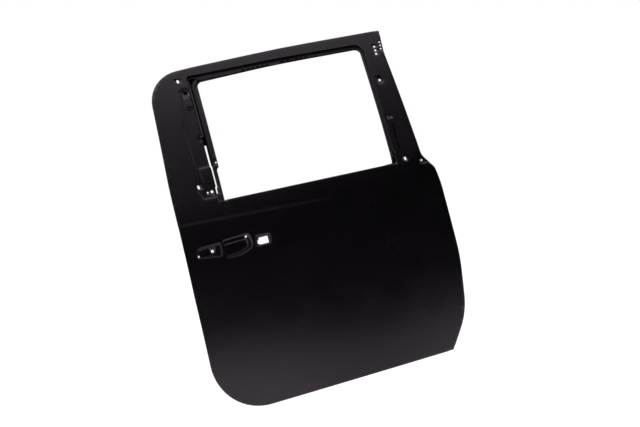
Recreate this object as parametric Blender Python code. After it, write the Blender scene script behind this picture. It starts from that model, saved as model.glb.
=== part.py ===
"""Bare pressed-steel shell of a pickup's right-hand rear side door.

Metres. X runs to the vehicle's front, Y from the outside into the cab, Z up. Shapes are drawn on the door's
side view, with heights counted from the belt line, and the whole door then hangs from the centre of its upper
hinge face.
"""
import math

import bmesh
import bpy
import numpy as np
from mathutils import Matrix, Vector
from mathutils.geometry import delaunay_2d_cdt

# Sheet and fits
SKIN_GAUGE = 0.0008
INNER_GAUGE = 0.0010
REINFORCEMENT_GAUGE = 0.0012
HINGE_PLATE_GAUGE = 0.0020
FIT = 0.0003

# Main sizes: where the door's four sides stand, before its corners are rounded
FRONT_EDGE = 0.5253
REAR_EDGE = -0.5394
TOP_EDGE = 0.5037
BOTTOM_EDGE = -0.7777


def from_front(places):
    """Places whose first number is counted back from the front edge."""
    return tuple((FRONT_EDGE - place[0], *place[1:]) for place in places)


def from_rear(places):
    """Places whose first number is counted forward from the rear edge."""
    return tuple((REAR_EDGE + place[0], *place[1:]) for place in places)


# Section of the skin: heights over the belt line, and how far the skin leans inward there, in degrees
BOTTOM_HEIGHT, TUCK_HEIGHT, WAIST_HEIGHT, SHOULDER_HEIGHT, BELT_HEIGHT, TOP_HEIGHT = (
    BOTTOM_EDGE - 0.0123, -0.420, -0.300, -0.100, 0.0, TOP_EDGE + 0.0063)
BOTTOM_LEAN, TUCK_LEAN, WAIST_LEAN, SHOULDER_LEAN, BELT_LEAN, TOP_LEAN = (-9.0, -1.5, 0.0, 2.0, 14.0, 20.0)
PLAN_BOW_RADIUS = 16.0
FEATURE_LINE_DEPTH = 0.0030
FEATURE_LINE_REAR = (-0.371, -0.082)
FEATURE_LINE_FRONT = (0.080, -0.118)
FEATURE_LINE_FADE = 0.300
FEATURE_LINE_WIDTH = 0.022

# Side view of the door, corner by corner: length, height and rounding radius
FRONT_TOE, FRONT_HEAD, PILLAR_NOTCH = from_front((
    (0.1248, BOTTOM_EDGE), (0.0469, TOP_EDGE - 0.0072), (0.0483, -0.0555)))
DOOR_CORNERS = (
    (*FRONT_TOE, 0.006),
    *from_front(((0.0429, BOTTOM_EDGE + 0.125, 0.278), (0.0, -0.2861, 1.128), (0.0299, -0.0813, 0.040),
                 (0.0689, -0.0235, 0.035), (0.0629, 0.3988, 0.078))),
    (*FRONT_HEAD, 0.006), (0.0569, TOP_EDGE, 6.322),
    *from_rear(((0.2405, TOP_EDGE - 0.008, 0.800), (0.0616, TOP_EDGE - 0.0161, 0.134),
                (0.0089, 0.0094, 2.239), (0.0026, -0.3391, 1.500), (0.0, BOTTOM_EDGE, 0.192))))
SKIN_WINDOW_CORNERS = (
    *from_rear(((0.1774, -0.0207, 0.010), (0.1874, 0.205, 0.500), (0.2054, TOP_EDGE - 0.0397, 0.014))),
    (0.020, TOP_EDGE - 0.0377, 5.000),
    *from_front(((0.1413, TOP_EDGE - 0.0457, 0.034), (0.1643, 0.147, 0.500), (0.1793, -0.0347, 0.010))))
INNER_WINDOW_CORNERS = (
    *from_rear(((0.2014, -0.028, 0.006), (0.2092, 0.094, 0.003), (0.2189, 0.104, 0.003),
                (0.2267, 0.220, 0.500), (0.2409, TOP_EDGE - 0.0712, 0.022))),
    (0.020, TOP_EDGE - 0.0624, 5.000),
    *from_front(((0.1528, TOP_EDGE - 0.0677, 0.022), (0.1753, 0.120, 0.500), (0.1908, -0.032, 0.008),
                 (0.2273, -0.0319, 0.0))),
    (REAR_EDGE + 0.2364, -0.0283, 0.0))
HEM_REACH = 0.009
HEM_CREST = 0.0015
HEM_FLANGE_DEPTH = SKIN_GAUGE + 2.0 * FIT
HEM_DEPTH = HEM_FLANGE_DEPTH + INNER_GAUGE + 2.0 * FIT + SKIN_GAUGE
INNER_EDGE_CLEARANCE = 0.0008
WINDOW_RETURN = 0.0135
WINDOW_FOOT = 0.010
BELT_HEM_DEPTH = 0.0026
BELT_END = 0.012
HEM_NOTCH = 0.016
RETURN_DRAFT = 0.0015
SLOT_SIDE_LOW, SLOT_SIDE_HIGH = 0.026, 0.215
SLOT_SIDE_RETURN = 0.006

# Inner panel
PAN_LEVEL = 0.072
FRAME_DEPTH = 0.030
FRAME_FLANGE_DEPTH = WINDOW_RETURN + SKIN_GAUGE * 1.08 + 1.5 * FIT
FRAME_FLANGE_REACH = 0.020
FRAME_WALL = 0.009
FRAME_BASE_HEIGHT, FRAME_FOOT_HEIGHT = -0.070, -0.032
FRAME_START_HEIGHT, FRAME_FULL_HEIGHT = -0.020, 0.070
PAN_DRAFT_WIDTH = 0.006
HINGE_WALL_X = FRONT_EDGE - 0.0633
LATCH_WALL_X = REAR_EDGE + 0.0194
UPPER_HINGE_HEIGHT = -0.180
LOWER_HINGE_HEIGHT = -0.505
PAN_CORNERS = (
    (HINGE_WALL_X - 0.074, BOTTOM_EDGE + 0.0247, 0.040), (HINGE_WALL_X, LOWER_HINGE_HEIGHT - 0.101, 0.085),
    (HINGE_WALL_X, UPPER_HINGE_HEIGHT + 0.096, 0.030),
    *from_front(((0.0853, -0.034, 0.050), (0.0793, 0.385, 0.150), (0.0653, TOP_EDGE - 0.0247, 0.014))),
    (0.030, TOP_EDGE - 0.0157, 5.000),
    *from_rear(((0.0754, TOP_EDGE - 0.0312, 0.122), (0.0294, 0.010, 1.500))),
    (LATCH_WALL_X, -0.130, 0.400), (LATCH_WALL_X, BOTTOM_EDGE + 0.0237, 0.160))

# Hinges, check link, latch
HINGE_FACE_Y = 0.034
HINGE_BOLT_SPACING = 0.050
HINGE_BOLT_HOLE_RADIUS = 0.0055
HINGE_PLATE_HEIGHT = 0.120
HINGE_PLATE_DEPTH = 0.056
CHECK_HEIGHT = -0.345
CHECK_SLOT = (0.016, 0.034)
CHECK_BOLT_SPACING = 0.052
CHECK_BOLT_HOLE_RADIUS = 0.0035
HARNESS_HEIGHT = -0.265
HARNESS_HOLE_RADIUS = 0.014
LATCH_HEIGHT = -0.235
LATCH_PLATE_HEIGHT = 0.130
LATCH_MOUTH = (0.030, 0.052)
LATCH_SCREW_RADIUS = 0.0035
LATCH_DEPTH = 0.036
LATCH_SCREWS = (
    (LATCH_DEPTH, LATCH_HEIGHT + 0.042), (LATCH_DEPTH - 0.018, LATCH_HEIGHT - 0.042),
    (LATCH_DEPTH + 0.018, LATCH_HEIGHT - 0.042))

# Mesh fineness
ARC_STEP = math.radians(20)
SHOULDER_STATION_STEP = 0.022
STATION_STEP = 0.042
COLUMN_STEP = 0.105
GRID_CLEARANCE = 0.010
MERGE = 1e-6
SLIVER_WIDTH = 5e-8

STEEL = (0.0056, 0.0052, 0.0056)
DIPPED_INNER = (0.0070, 0.0068, 0.0072)
ZINC = (0.030, 0.031, 0.034)
MASTIC = (0.020, 0.019, 0.018)


def clear_scene():
    for old in list(bpy.data.objects):
        bpy.data.objects.remove(old, do_unlink=True)


def finish_material(name, colour, roughness, metallic):
    made = bpy.data.materials.new(name)
    made.use_nodes = True
    shader = made.node_tree.nodes["Principled BSDF"]
    shader.inputs["Base Color"].default_value = (*colour, 1.0)
    shader.inputs["Roughness"].default_value = roughness
    shader.inputs["Metallic"].default_value = metallic
    return made


def skin_profile():
    """Heights and depths of the skin's section: its lean is added up from the belt line, up and down."""
    heights = np.arange(BOTTOM_HEIGHT, TOP_HEIGHT, 0.002)
    lean = np.interp(
        heights,
        (BOTTOM_HEIGHT, TUCK_HEIGHT, WAIST_HEIGHT, SHOULDER_HEIGHT, BELT_HEIGHT, TOP_HEIGHT),
        (BOTTOM_LEAN, TUCK_LEAN, WAIST_LEAN, SHOULDER_LEAN, BELT_LEAN, TOP_LEAN))
    depths = np.cumsum(np.tan(np.radians(lean))) * 0.002
    return heights, depths - np.interp(BELT_HEIGHT, heights, depths)


SECTION = skin_profile()


def smooth(share):
    share = np.clip(share, 0.0, 1.0)
    return share * share * (3.0 - 2.0 * share)


def skin_y(x, z):
    """Outer face of the skin at a place on the side view: section, lengthwise bow and soft feature line."""
    x, z = np.asarray(x, float), np.asarray(z, float)
    (rear_x, rear_z), (front_x, front_z) = FEATURE_LINE_REAR, FEATURE_LINE_FRONT
    line_z = rear_z + (front_z - rear_z) * (x - rear_x) / (front_x - rear_x)
    ledge = 1.0 - smooth((z - line_z) / FEATURE_LINE_WIDTH + 0.5)
    fade = smooth((front_x + 0.10 - x) / FEATURE_LINE_FADE) * smooth((z - line_z + 0.30) / 0.25)
    return np.interp(z, *SECTION) + x * x / (2.0 * PLAN_BOW_RADIUS) - FEATURE_LINE_DEPTH * ledge * fade


def rounded(corners):
    """Outline of a straight-sided figure whose corners are rounded, as a list of points."""
    outline = []
    for index, (x, z, radius) in enumerate(corners):
        here = Vector((x, z))
        back = (Vector(corners[index - 1][:2]) - here).normalized()
        ahead = (Vector(corners[(index + 1) % len(corners)][:2]) - here).normalized()
        turn = math.pi - back.angle(ahead)
        if radius < 1e-5 or turn < 1e-4:
            outline.append((x, z))
            continue
        tangent = radius * math.tan(turn / 2.0)
        centre = here + (back + ahead).normalized() * (radius / math.cos(turn / 2.0))
        start, end = here + back * tangent - centre, here + ahead * tangent - centre
        steps = max(1, math.ceil(turn / ARC_STEP))
        for step in range(steps + 1):
            outline.append(tuple(centre + start.slerp(end, step / steps) * radius))
    return outline


def turns_left(before, here, after):
    return (here[0] - before[0]) * (after[1] - here[1]) - (here[1] - before[1]) * (after[0] - here[0]) > 0.0


def inset(corners, distance):
    """The same figure with its sides and roundings moved inward. Its corners run anticlockwise."""
    moved = []
    for index, here in enumerate(corners):
        before, after = corners[index - 1], corners[(index + 1) % len(corners)]
        first = Vector((here[0] - before[0], here[1] - before[1])).normalized()
        second = Vector((after[0] - here[0], after[1] - here[1])).normalized()
        inward_first, inward_second = Vector((-first.y, first.x)), Vector((-second.y, second.x))
        shift = (inward_first + inward_second) * (distance / (1.0 + inward_first.dot(inward_second)))
        radius = here[2] - distance if turns_left(before, here, after) else here[2] + distance
        moved.append((here[0] + shift.x, here[1] + shift.y, max(radius, 0.0)))
    return moved


def anticlockwise(corners):
    area = sum(a[0] * b[1] - b[0] * a[1] for a, b in zip(corners, corners[1:] + corners[:1]))
    return list(corners) if area > 0.0 else list(reversed(corners))


def box(x, z, width, height, radius=0.0, turn=0.0):
    """Corners of a rectangle round a centre, turned by some degrees."""
    cos, sin = math.cos(math.radians(turn)), math.sin(math.radians(turn))
    half, rise = width / 2, height / 2
    ends = ((-half, -rise), (half, -rise), (half, rise), (-half, rise))
    return [(x + u * cos - v * sin, z + u * sin + v * cos, radius) for u, v in ends]


def disc(x, z, radius, sides=12):
    return [(x + radius * math.cos(math.tau * k / sides), z + radius * math.sin(math.tau * k / sides))
            for k in range(sides)]


def segment_distance(points, starts, ends):
    """Distance from each point to the nearest of some straight segments."""
    along = ends - starts
    length = np.maximum((along * along).sum(axis=1), 1e-18)
    offset = points[:, None, :] - starts[None, :, :]
    share = np.clip((offset * along).sum(axis=2) / length, 0.0, 1.0)
    return np.sqrt(((offset - share[..., None] * along) ** 2).sum(axis=2)).min(axis=1)


def loop_distance(points, loop):
    loop = np.asarray(loop)
    return segment_distance(points, loop, np.roll(loop, -1, axis=0))


def path_distance(points, path):
    path = np.asarray(path)
    return segment_distance(points, path[:-1], path[1:])


def inside(points, loop):
    loop = np.asarray(loop)
    ends = np.roll(loop, -1, axis=0)
    x, z = points[:, 0, None], points[:, 1, None]
    rise = ends[:, 1] - loop[:, 1]
    crosses = (loop[:, 1] > z) != (ends[:, 1] > z)
    level = np.where(np.abs(rise) < 1e-12, 1e-12, rise)
    meets = (ends[:, 0] - loop[:, 0]) * (z - loop[:, 1]) / level + loop[:, 0]
    return (crosses & (x < meets)).sum(axis=1) % 2 == 1


class Emboss:
    """A place pressed in, or out if its depth is negative, between the outlines of its rim and its floor."""

    def __init__(self, corners, wall, depth, floor=None):
        corners = anticlockwise(corners)
        self.rim = rounded(corners)
        self.floor = rounded(anticlockwise(floor) if floor else inset(corners, wall))
        self.depth = depth

    def share(self, points):
        to_rim, to_floor = loop_distance(points, self.rim), loop_distance(points, self.floor)
        slope = to_rim / np.maximum(to_rim + to_floor, 1e-9)
        return np.where(inside(points, self.floor), 1.0, np.where(inside(points, self.rim), slope, 0.0))

    def press(self, points):
        return self.depth * self.share(points)


def stations(low, high):
    """Heights at which every pressing has a row of points, close together round the shoulder."""
    rows = list(np.arange(BELT_HEIGHT, SHOULDER_HEIGHT - 0.03, -SHOULDER_STATION_STEP))
    rows += list(np.arange(rows[-1] - STATION_STEP, BOTTOM_HEIGHT, -STATION_STEP))
    rows += list(np.arange(BELT_HEIGHT + STATION_STEP, TOP_HEIGHT, STATION_STEP))
    return sorted(row for row in rows if low < row < high)


def columns(low, high):
    first = math.ceil(low / COLUMN_STEP)
    return [k * COLUMN_STEP for k in range(first, math.floor(high / COLUMN_STEP) + 1)]


def refine(loop):
    """Adds points where the sides of an outline cross the common rows, and on its long level sides."""
    fine = []
    for (x0, z0), (x1, z1) in zip(loop, loop[1:] + loop[:1]):
        shares = {0.0}
        if abs(z1 - z0) > 0.004:
            shares |= {(row - z0) / (z1 - z0) for row in stations(min(z0, z1) + 0.002, max(z0, z1) - 0.002)}
        if abs(x1 - x0) > 3.0 * abs(z1 - z0):
            crossed = columns(min(x0, x1) + 0.01, max(x0, x1) - 0.01)
            shares |= {(column - x0) / (x1 - x0) for column in crossed}
        fine += [(x0 + share * (x1 - x0), z0 + share * (z1 - z0)) for share in sorted(shares)]
    return fine


def blank(outline, holes, creases):
    """Flat blank cut to its outline and holes and divided along its creases: points and triangles."""
    boundary = [refine(outline)] + [refine(hole) for hole in holes]
    loops = boundary + [refine(crease) for crease in creases]
    points, edges = [], []
    for loop in loops:
        first = len(points)
        points += loop
        edges += [(first + k, first + (k + 1) % len(loop)) for k in range(len(loop))]
    low, high = np.min(boundary[0], axis=0), np.max(boundary[0], axis=0)
    grid = [(x, z) for z in stations(low[1], high[1]) for x in columns(low[0], high[0])]
    grid = np.array(grid or [(9.0, 9.0)])
    clear = inside(grid, boundary[0])
    for loop in loops:
        clear &= loop_distance(grid, loop) > GRID_CLEARANCE
    points += [tuple(point) for point in grid[clear]]
    flat, _, triangles, *_ = delaunay_2d_cdt([Vector(p) for p in points], edges, [], 0, MERGE)
    flat = np.array([tuple(p) for p in flat])
    corners = flat[np.array(triangles)]
    one, other = corners[:, 1] - corners[:, 0], corners[:, 2] - corners[:, 0]
    length = np.maximum(np.linalg.norm(one, axis=1), np.linalg.norm(other, axis=1))
    width = np.abs(one[:, 0] * other[:, 1] - one[:, 1] * other[:, 0]) / length
    middles = corners.mean(axis=1)
    kept = inside(middles, boundary[0]) & (width > SLIVER_WIDTH)
    for hole in boundary[1:]:
        kept &= ~inside(middles, hole)
    return flat, [triangle for triangle, keep in zip(triangles, kept) if keep]


def open_edges(bm, loop, keep):
    """Free edges of a pressing that lie on an outline, where keep(x, z) holds."""
    found = []
    for edge in bm.edges:
        if not edge.is_boundary:
            continue
        ends = np.array([(vert.co.x, vert.co.z) for vert in edge.verts])
        if loop_distance(ends, loop).max() < 1e-4 and all(keep(x, z) for x, z in ends):
            found.append(edge)
    return found


def fold(bm, edges, profile, surface):
    """Bends a strip on from free edges; each step gives its reach past the edge and its depth."""
    directed = [(loop.vert, loop.link_loop_next.vert) for loop in (edge.link_loops[0] for edge in edges)]
    outward = {}
    for start, end in directed:
        along = Vector((end.co.x - start.co.x, end.co.z - start.co.z)).normalized()
        for vert in (start, end):
            outward.setdefault(vert, []).append(Vector((along.y, -along.x)))
    mitre = {}
    for vert, sides in outward.items():
        total = sum(sides, Vector((0.0, 0.0)))
        mitre[vert] = total / (1.0 + sides[0].dot(sides[-1])) if len(sides) > 1 else total
    row = {vert: vert for vert in outward}
    for reach, depth in profile:
        moved = {}
        for vert, side in mitre.items():
            x, z = vert.co.x + side.x * reach, vert.co.z + side.y * reach
            moved[vert] = bm.verts.new((x, float(surface(x, z)) + depth, z))
        for start, end in directed:
            bm.faces.new((row[end], row[start], moved[start], moved[end]))
        row = moved


def into_object(bm, name, material, gauge=None, parent=None):
    mesh = bpy.data.meshes.new(name)
    bm.normal_update()
    bm.to_mesh(mesh)
    bm.free()
    mesh.materials.append(material)
    made = bpy.data.objects.new(name, mesh)
    bpy.context.collection.objects.link(made)
    made.parent = parent
    mesh.shade_smooth()
    mesh.set_sharp_from_angle(angle=math.radians(30))
    if gauge:
        solid = made.modifiers.new("gauge", "SOLIDIFY")
        solid.thickness = gauge
        solid.offset = -1.0
        solid.use_even_offset = True
        solid.use_quality_normals = True
    return made


def pressing(name, outline, holes, creases, lift, gauge, material, parent, folds=()):
    """One stamped sheet: its blank is lifted to shape, its flanges are folded, and it gets its gauge."""
    flat, triangles = blank(outline, holes, creases)
    depths = lift(flat)
    bm = bmesh.new()
    verts = [bm.verts.new((x, y, z)) for (x, z), y in zip(flat, depths)]
    for triangle in triangles:
        corners = [flat[k] for k in triangle]
        area = ((corners[1][0] - corners[0][0]) * (corners[2][1] - corners[0][1])
                - (corners[1][1] - corners[0][1]) * (corners[2][0] - corners[0][0]))
        order = triangle if area > 0.0 else list(reversed(triangle))
        bm.faces.new([verts[k] for k in order])
    bmesh.ops.delete(bm, geom=[vert for vert in bm.verts if not vert.link_faces], context="VERTS")
    for loop, keep, profile, surface in folds:
        fold(bm, open_edges(bm, loop, keep), profile, surface)
    return into_object(bm, name, material, gauge, parent)


def clear_of(points, reach):
    return lambda x, z: all(math.hypot(x - px, z - pz) > reach for px, pz in points)


def cut(target, cutters):
    """Takes the joined cutters out of a piece."""
    cutters.hide_render = True
    cutters.display_type = "WIRE"
    boolean = target.modifiers.new("holes", "BOOLEAN")
    boolean.operation = "DIFFERENCE"
    boolean.solver = "EXACT"
    boolean.object = cutters


# Outer panel

TRIM_SEAT_DEPTH = 0.0035
TRIM_SEAT_WALL = 0.004
TRIM_SEAT_CORNERS = from_rear((
    (0.2414, -0.004, 0.0), (0.2414, TOP_EDGE - 0.0887, 0.0), (0.1674, TOP_EDGE - 0.0887, 0.012),
    (0.1514, 0.330, 0.050), (0.1344, 0.260, 0.080), (0.1304, 0.090, 0.200), (0.1114, 0.035, 0.014),
    (0.1254, -0.004, 0.014)))
TRIM_PADS = from_rear(((0.1819, 0.3635, 0.031, 0.046), (0.1649, 0.0850, 0.046, 0.054)))
TRIM_PAD_RISE = 0.0018
CAP_POCKET_CORNERS = from_rear((
    (0.0424, -0.203, 0.007), (0.1404, -0.216, 0.010), (0.1424, -0.166, 0.006), (0.0554, -0.169, 0.014)))
CAP_POCKET_DEPTH = 0.0045
CUP_RIM = from_rear((
    (0.1484, -0.228, 0.012), (0.2044, -0.228, 0.040), (0.2624, -0.208, 0.026), (0.2554, -0.153, 0.018),
    (0.1484, -0.159, 0.006)))
CUP_FLOOR = from_rear((
    (0.1564, -0.217, 0.006), (0.1994, -0.217, 0.020), (0.2414, -0.203, 0.010), (0.2384, -0.176, 0.008),
    (0.1564, -0.179, 0.004)))
CUP_DEPTH = 0.020
PIVOT_SEAT = from_rear((
    (0.2644, -0.213, 0.008), (0.3274, -0.213, 0.010), (0.3314, -0.173, 0.010), (0.2704, -0.170, 0.008)))
PIVOT_SEAT_DEPTH = 0.0022
PIVOT_HOLE = (REAR_EDGE + 0.2999, -0.1945, 0.035, 0.025)
PIVOT_TAB = 0.006
PILLAR_GROOVE = from_front((
    (0.1523, 0.018, 0.003), (0.1443, 0.017, 0.003), (0.1343, 0.116, 0.003), (0.1423, 0.119, 0.003)))
PILLAR_GROOVE_DEPTH = 0.005
CLIP_DIMPLE = (FRONT_EDGE - 0.1243, 0.297, 0.032, 0.036)
CLIP_DIMPLE_DEPTH = 0.0022
SEAM_SLIT = (FRONT_EDGE - 0.0683, -0.0555, 0.029, 0.0018)
SQUARE_CLIP_HOLE = (FRONT_EDGE - 0.1243, 0.296, 0.009, 0.008)
SCREW_HOLES = from_front((
    (0.0953, TOP_EDGE - 0.0867), (0.0973, TOP_EDGE - 0.1007), (0.0938, TOP_EDGE - 0.0707),
    (0.0653, TOP_EDGE - 0.0697), (0.0683, TOP_EDGE - 0.0837), (0.0633, TOP_EDGE - 0.0557)))
SCREW_HOLE_RADIUS = 0.0042
ROUND_HOLES = (
    *from_rear(((0.1064, -0.189, 0.0050), (0.0529, -0.1965, 0.0034), (0.2404, -0.1665, 0.0035),
                (0.1474, 0.020, 0.0030), (0.1634, 0.020, 0.0050))),
    *from_front(((0.1423, 0.147, 0.0035), (0.0763, -0.045, 0.0035))))
OBLONG_HOLES = (
    *from_rear(((0.1704, TOP_EDGE - 0.0537, 0.009, 0.013, 4), (0.1854, TOP_EDGE - 0.1027, 0.013, 0.009, 4),
                (0.1204, 0.046, 0.009, 0.014, 12))),
    (FRONT_EDGE - 0.1393, -0.025, 0.009, 0.013, 10))


def skin_embosses():
    embosses = [Emboss(list(TRIM_SEAT_CORNERS), TRIM_SEAT_WALL, TRIM_SEAT_DEPTH)]
    embosses += [Emboss(box(*place, 0.003), 0.002, -TRIM_PAD_RISE) for place in TRIM_PADS]
    embosses.append(Emboss(list(CAP_POCKET_CORNERS), 0.004, CAP_POCKET_DEPTH))
    embosses.append(Emboss(list(CUP_RIM), 0.0, CUP_DEPTH, CUP_FLOOR))
    embosses.append(Emboss(list(PIVOT_SEAT), 0.003, PIVOT_SEAT_DEPTH))
    embosses.append(Emboss(list(PILLAR_GROOVE), 0.003, PILLAR_GROOVE_DEPTH))
    embosses.append(Emboss(box(*CLIP_DIMPLE, 0.014), 0.007, CLIP_DIMPLE_DEPTH))
    return embosses


def skin_holes():
    pivot_x, pivot_z, pivot_width, pivot_height = PIVOT_HOLE
    left, right = pivot_x - pivot_width / 2, pivot_x + pivot_width / 2
    low, high = pivot_z - pivot_height / 2, pivot_z + pivot_height / 2
    tab_low, tab_high = low + 0.003, high - 0.009
    holes = [rounded([(left, low, 0.003), (right, low, 0.003), (right, high, 0.003), (left, high, 0.003),
                      (left, tab_high, 0.001), (left - PIVOT_TAB, tab_high, 0.002),
                      (left - PIVOT_TAB, tab_low, 0.002), (left, tab_low, 0.001)])]
    holes.append(rounded(box(*SQUARE_CLIP_HOLE, 0.001)))
    holes.append(rounded(box(*SEAM_SLIT)))
    holes += [disc(x, z, SCREW_HOLE_RADIUS, 8) for x, z in SCREW_HOLES]
    holes += [disc(x, z, radius, 8) for x, z, radius in ROUND_HOLES]
    holes += [rounded(box(x, z, width, height, min(width, height) * 0.49, turn))
              for x, z, width, height, turn in OBLONG_HOLES]
    return holes


def outer_panel(material, parent):
    """The skin: one stamping, hemmed round the inner panel and turned in round the window."""
    fold_line = rounded(inset(list(DOOR_CORNERS), HEM_CREST))
    window = rounded(list(SKIN_WINDOW_CORNERS))
    embosses = skin_embosses()

    def lift(points):
        return skin_y(points[:, 0], points[:, 1]) + sum(emboss.press(points) for emboss in embosses)

    hem = [(HEM_CREST * 0.86, HEM_DEPTH * 0.25), (HEM_CREST * 0.86, HEM_DEPTH * 0.75), (0.0, HEM_DEPTH),
           (-HEM_REACH, HEM_DEPTH)]
    sharp_corners = [FRONT_TOE, FRONT_HEAD, PILLAR_NOTCH]
    belt_rear, belt_front = SKIN_WINDOW_CORNERS[0][0] + BELT_END, SKIN_WINDOW_CORNERS[-1][0] - BELT_END
    belt_top = SKIN_WINDOW_CORNERS[0][1] + 0.003
    pillars = [(RETURN_DRAFT * 0.7, WINDOW_RETURN * 0.3), (RETURN_DRAFT, WINDOW_RETURN),
               (RETURN_DRAFT + WINDOW_FOOT, WINDOW_RETURN)]
    slot_side = [(RETURN_DRAFT * 0.7, SLOT_SIDE_RETURN)]
    pillar_side = SLOT_EDGES[-1][0] + 2 * WINDOW_FOOT
    belt = [(0.0011, BELT_HEM_DEPTH * 0.5), (0.0, BELT_HEM_DEPTH), (-HEM_REACH, BELT_HEM_DEPTH)]

    def round_frame(x, z):
        return z > BELT_HEIGHT and not (x < pillar_side and z < SLOT_SIDE_HIGH)

    folds = (
        (fold_line, clear_of(sharp_corners, HEM_NOTCH), hem, skin_y),
        (window, round_frame, pillars, skin_y),
        (window, lambda x, z: x < pillar_side and SLOT_SIDE_LOW < z < SLOT_SIDE_HIGH, slot_side, skin_y),
        (window, lambda x, z: z < belt_top and belt_rear < x < belt_front, belt, skin_y),
    )
    creases = [loop for emboss in embosses for loop in (emboss.rim, emboss.floor)]
    return pressing("outer_panel", fold_line, [window] + skin_holes(), creases, lift, SKIN_GAUGE, material,
                    parent, folds)


# Inner panel

SPEAKER = (0.205, -0.590, 0.0825)
SPEAKER_RING_WIDTH = 0.022
SPEAKER_RING_DEPTH = 0.008
SERVICE_HOLES = (
    (*from_rear(((0.0694, -0.290, 0.022),)), (-0.175, -0.300, 0.028), (-0.160, -0.140, 0.030),
     *from_rear(((0.0694, -0.140, 0.022),))),
    ((-0.085, -0.430, 0.035), (0.240, -0.430, 0.035), (0.290, -0.165, 0.035), (-0.085, -0.165, 0.035)),
    ((-0.430, -0.610, 0.040), (-0.060, -0.620, 0.040), (-0.120, -0.385, 0.035), (-0.440, -0.385, 0.035)),
)
SERVICE_SEAT_WIDTH = 0.022
TRIM_CLIP_HOLES = (
    (LATCH_WALL_X + 0.030, -0.345), (LATCH_WALL_X + 0.030, -0.520), (-0.420, BOTTOM_EDGE + 0.0977),
    (-0.200, BOTTOM_EDGE + 0.0627), (0.020, BOTTOM_EDGE + 0.0627), (0.360, BOTTOM_EDGE + 0.1377),
    (HINGE_WALL_X - 0.047, -0.450), (HINGE_WALL_X - 0.047, -0.250), (0.020, -0.480), (-0.240, -0.345))
TRIM_CLIP_RADIUS = 0.0040
REGULATOR_NUTS = (
    (-0.1225, -0.190), (-0.1225, -0.342), (0.320, -0.230), (0.290, -0.395), (-0.010, -0.130), (0.160, -0.470))
REGULATOR_HOLE_RADIUS = 0.0038
SIGHT_HOLES = (
    *from_rear(((0.1834, TOP_EDGE - 0.0517, 0.024, 0.030), (0.1304, 0.050, 0.030, 0.036),
                (0.1694, 0.022, 0.034, 0.028))),
    *from_front(((0.1133, 0.296, 0.018, 0.020), (0.1143, -0.025, 0.022, 0.026))))
PILLAR_TOP_HOLE = from_front((
    (0.1053, TOP_EDGE - 0.1117, 0.008), (0.0753, TOP_EDGE - 0.1117, 0.006),
    (0.0723, TOP_EDGE - 0.0517, 0.006), (0.1013, TOP_EDGE - 0.0517, 0.008)))
TAB_HOLE = (REAR_EDGE + 0.2139, 0.122, 0.0030)
SLOT_EDGES = from_rear(((0.1879, 0.030), (0.1929, 0.116), (0.1979, 0.192)))
SLOT_WIDTH = 0.0045


def frame_share(z):
    return smooth((z - FRAME_START_HEIGHT) / (FRAME_FULL_HEIGHT - FRAME_START_HEIGHT))


def inner_levels():
    """The inner panel's depth at any place: hem flange, shut wall, pan, and window frame with its flange."""
    pan = Emboss(list(PAN_CORNERS), PAN_DRAFT_WIDTH, 1.0)
    window = rounded(list(INNER_WINDOW_CORNERS))
    foot_z = INNER_WINDOW_CORNERS[0][1]
    rear_foot, front_foot = INNER_WINDOW_CORNERS[0][0] + BELT_END, INNER_WINDOW_CORNERS[-3][0] - BELT_END
    frame_edge = [point for point in window if point[1] > foot_z or not rear_foot < point[0] < front_foot]
    start = max(range(len(frame_edge)), key=lambda k: math.dist(frame_edge[k], frame_edge[k - 1]))
    frame_edge = frame_edge[start:] + frame_edge[:start]

    def levels(points):
        x, z = points[:, 0], points[:, 1]
        skin = skin_y(x, z)
        share = frame_share(z)
        box_level = PAN_LEVEL + share * (skin + FRAME_DEPTH - PAN_LEVEL)
        off_edge = path_distance(points, frame_edge)
        near = np.clip((FRAME_FLANGE_REACH + FRAME_WALL - off_edge) / FRAME_WALL, 0.0, 1.0)
        near *= np.clip((z - FRAME_BASE_HEIGHT) / (FRAME_FOOT_HEIGHT - FRAME_BASE_HEIGHT), 0.0, 1.0)
        pressed = box_level + near * (skin + FRAME_FLANGE_DEPTH - box_level)
        flange = skin + HEM_FLANGE_DEPTH
        return flange + pan.share(points) * (pressed - flange)

    return pan, window, levels


def slot_outline():
    left = [(x - SLOT_WIDTH / 2, z) for x, z in SLOT_EDGES]
    right = [(x + SLOT_WIDTH / 2, z) for x, z in SLOT_EDGES]
    return left + list(reversed(right))


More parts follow.
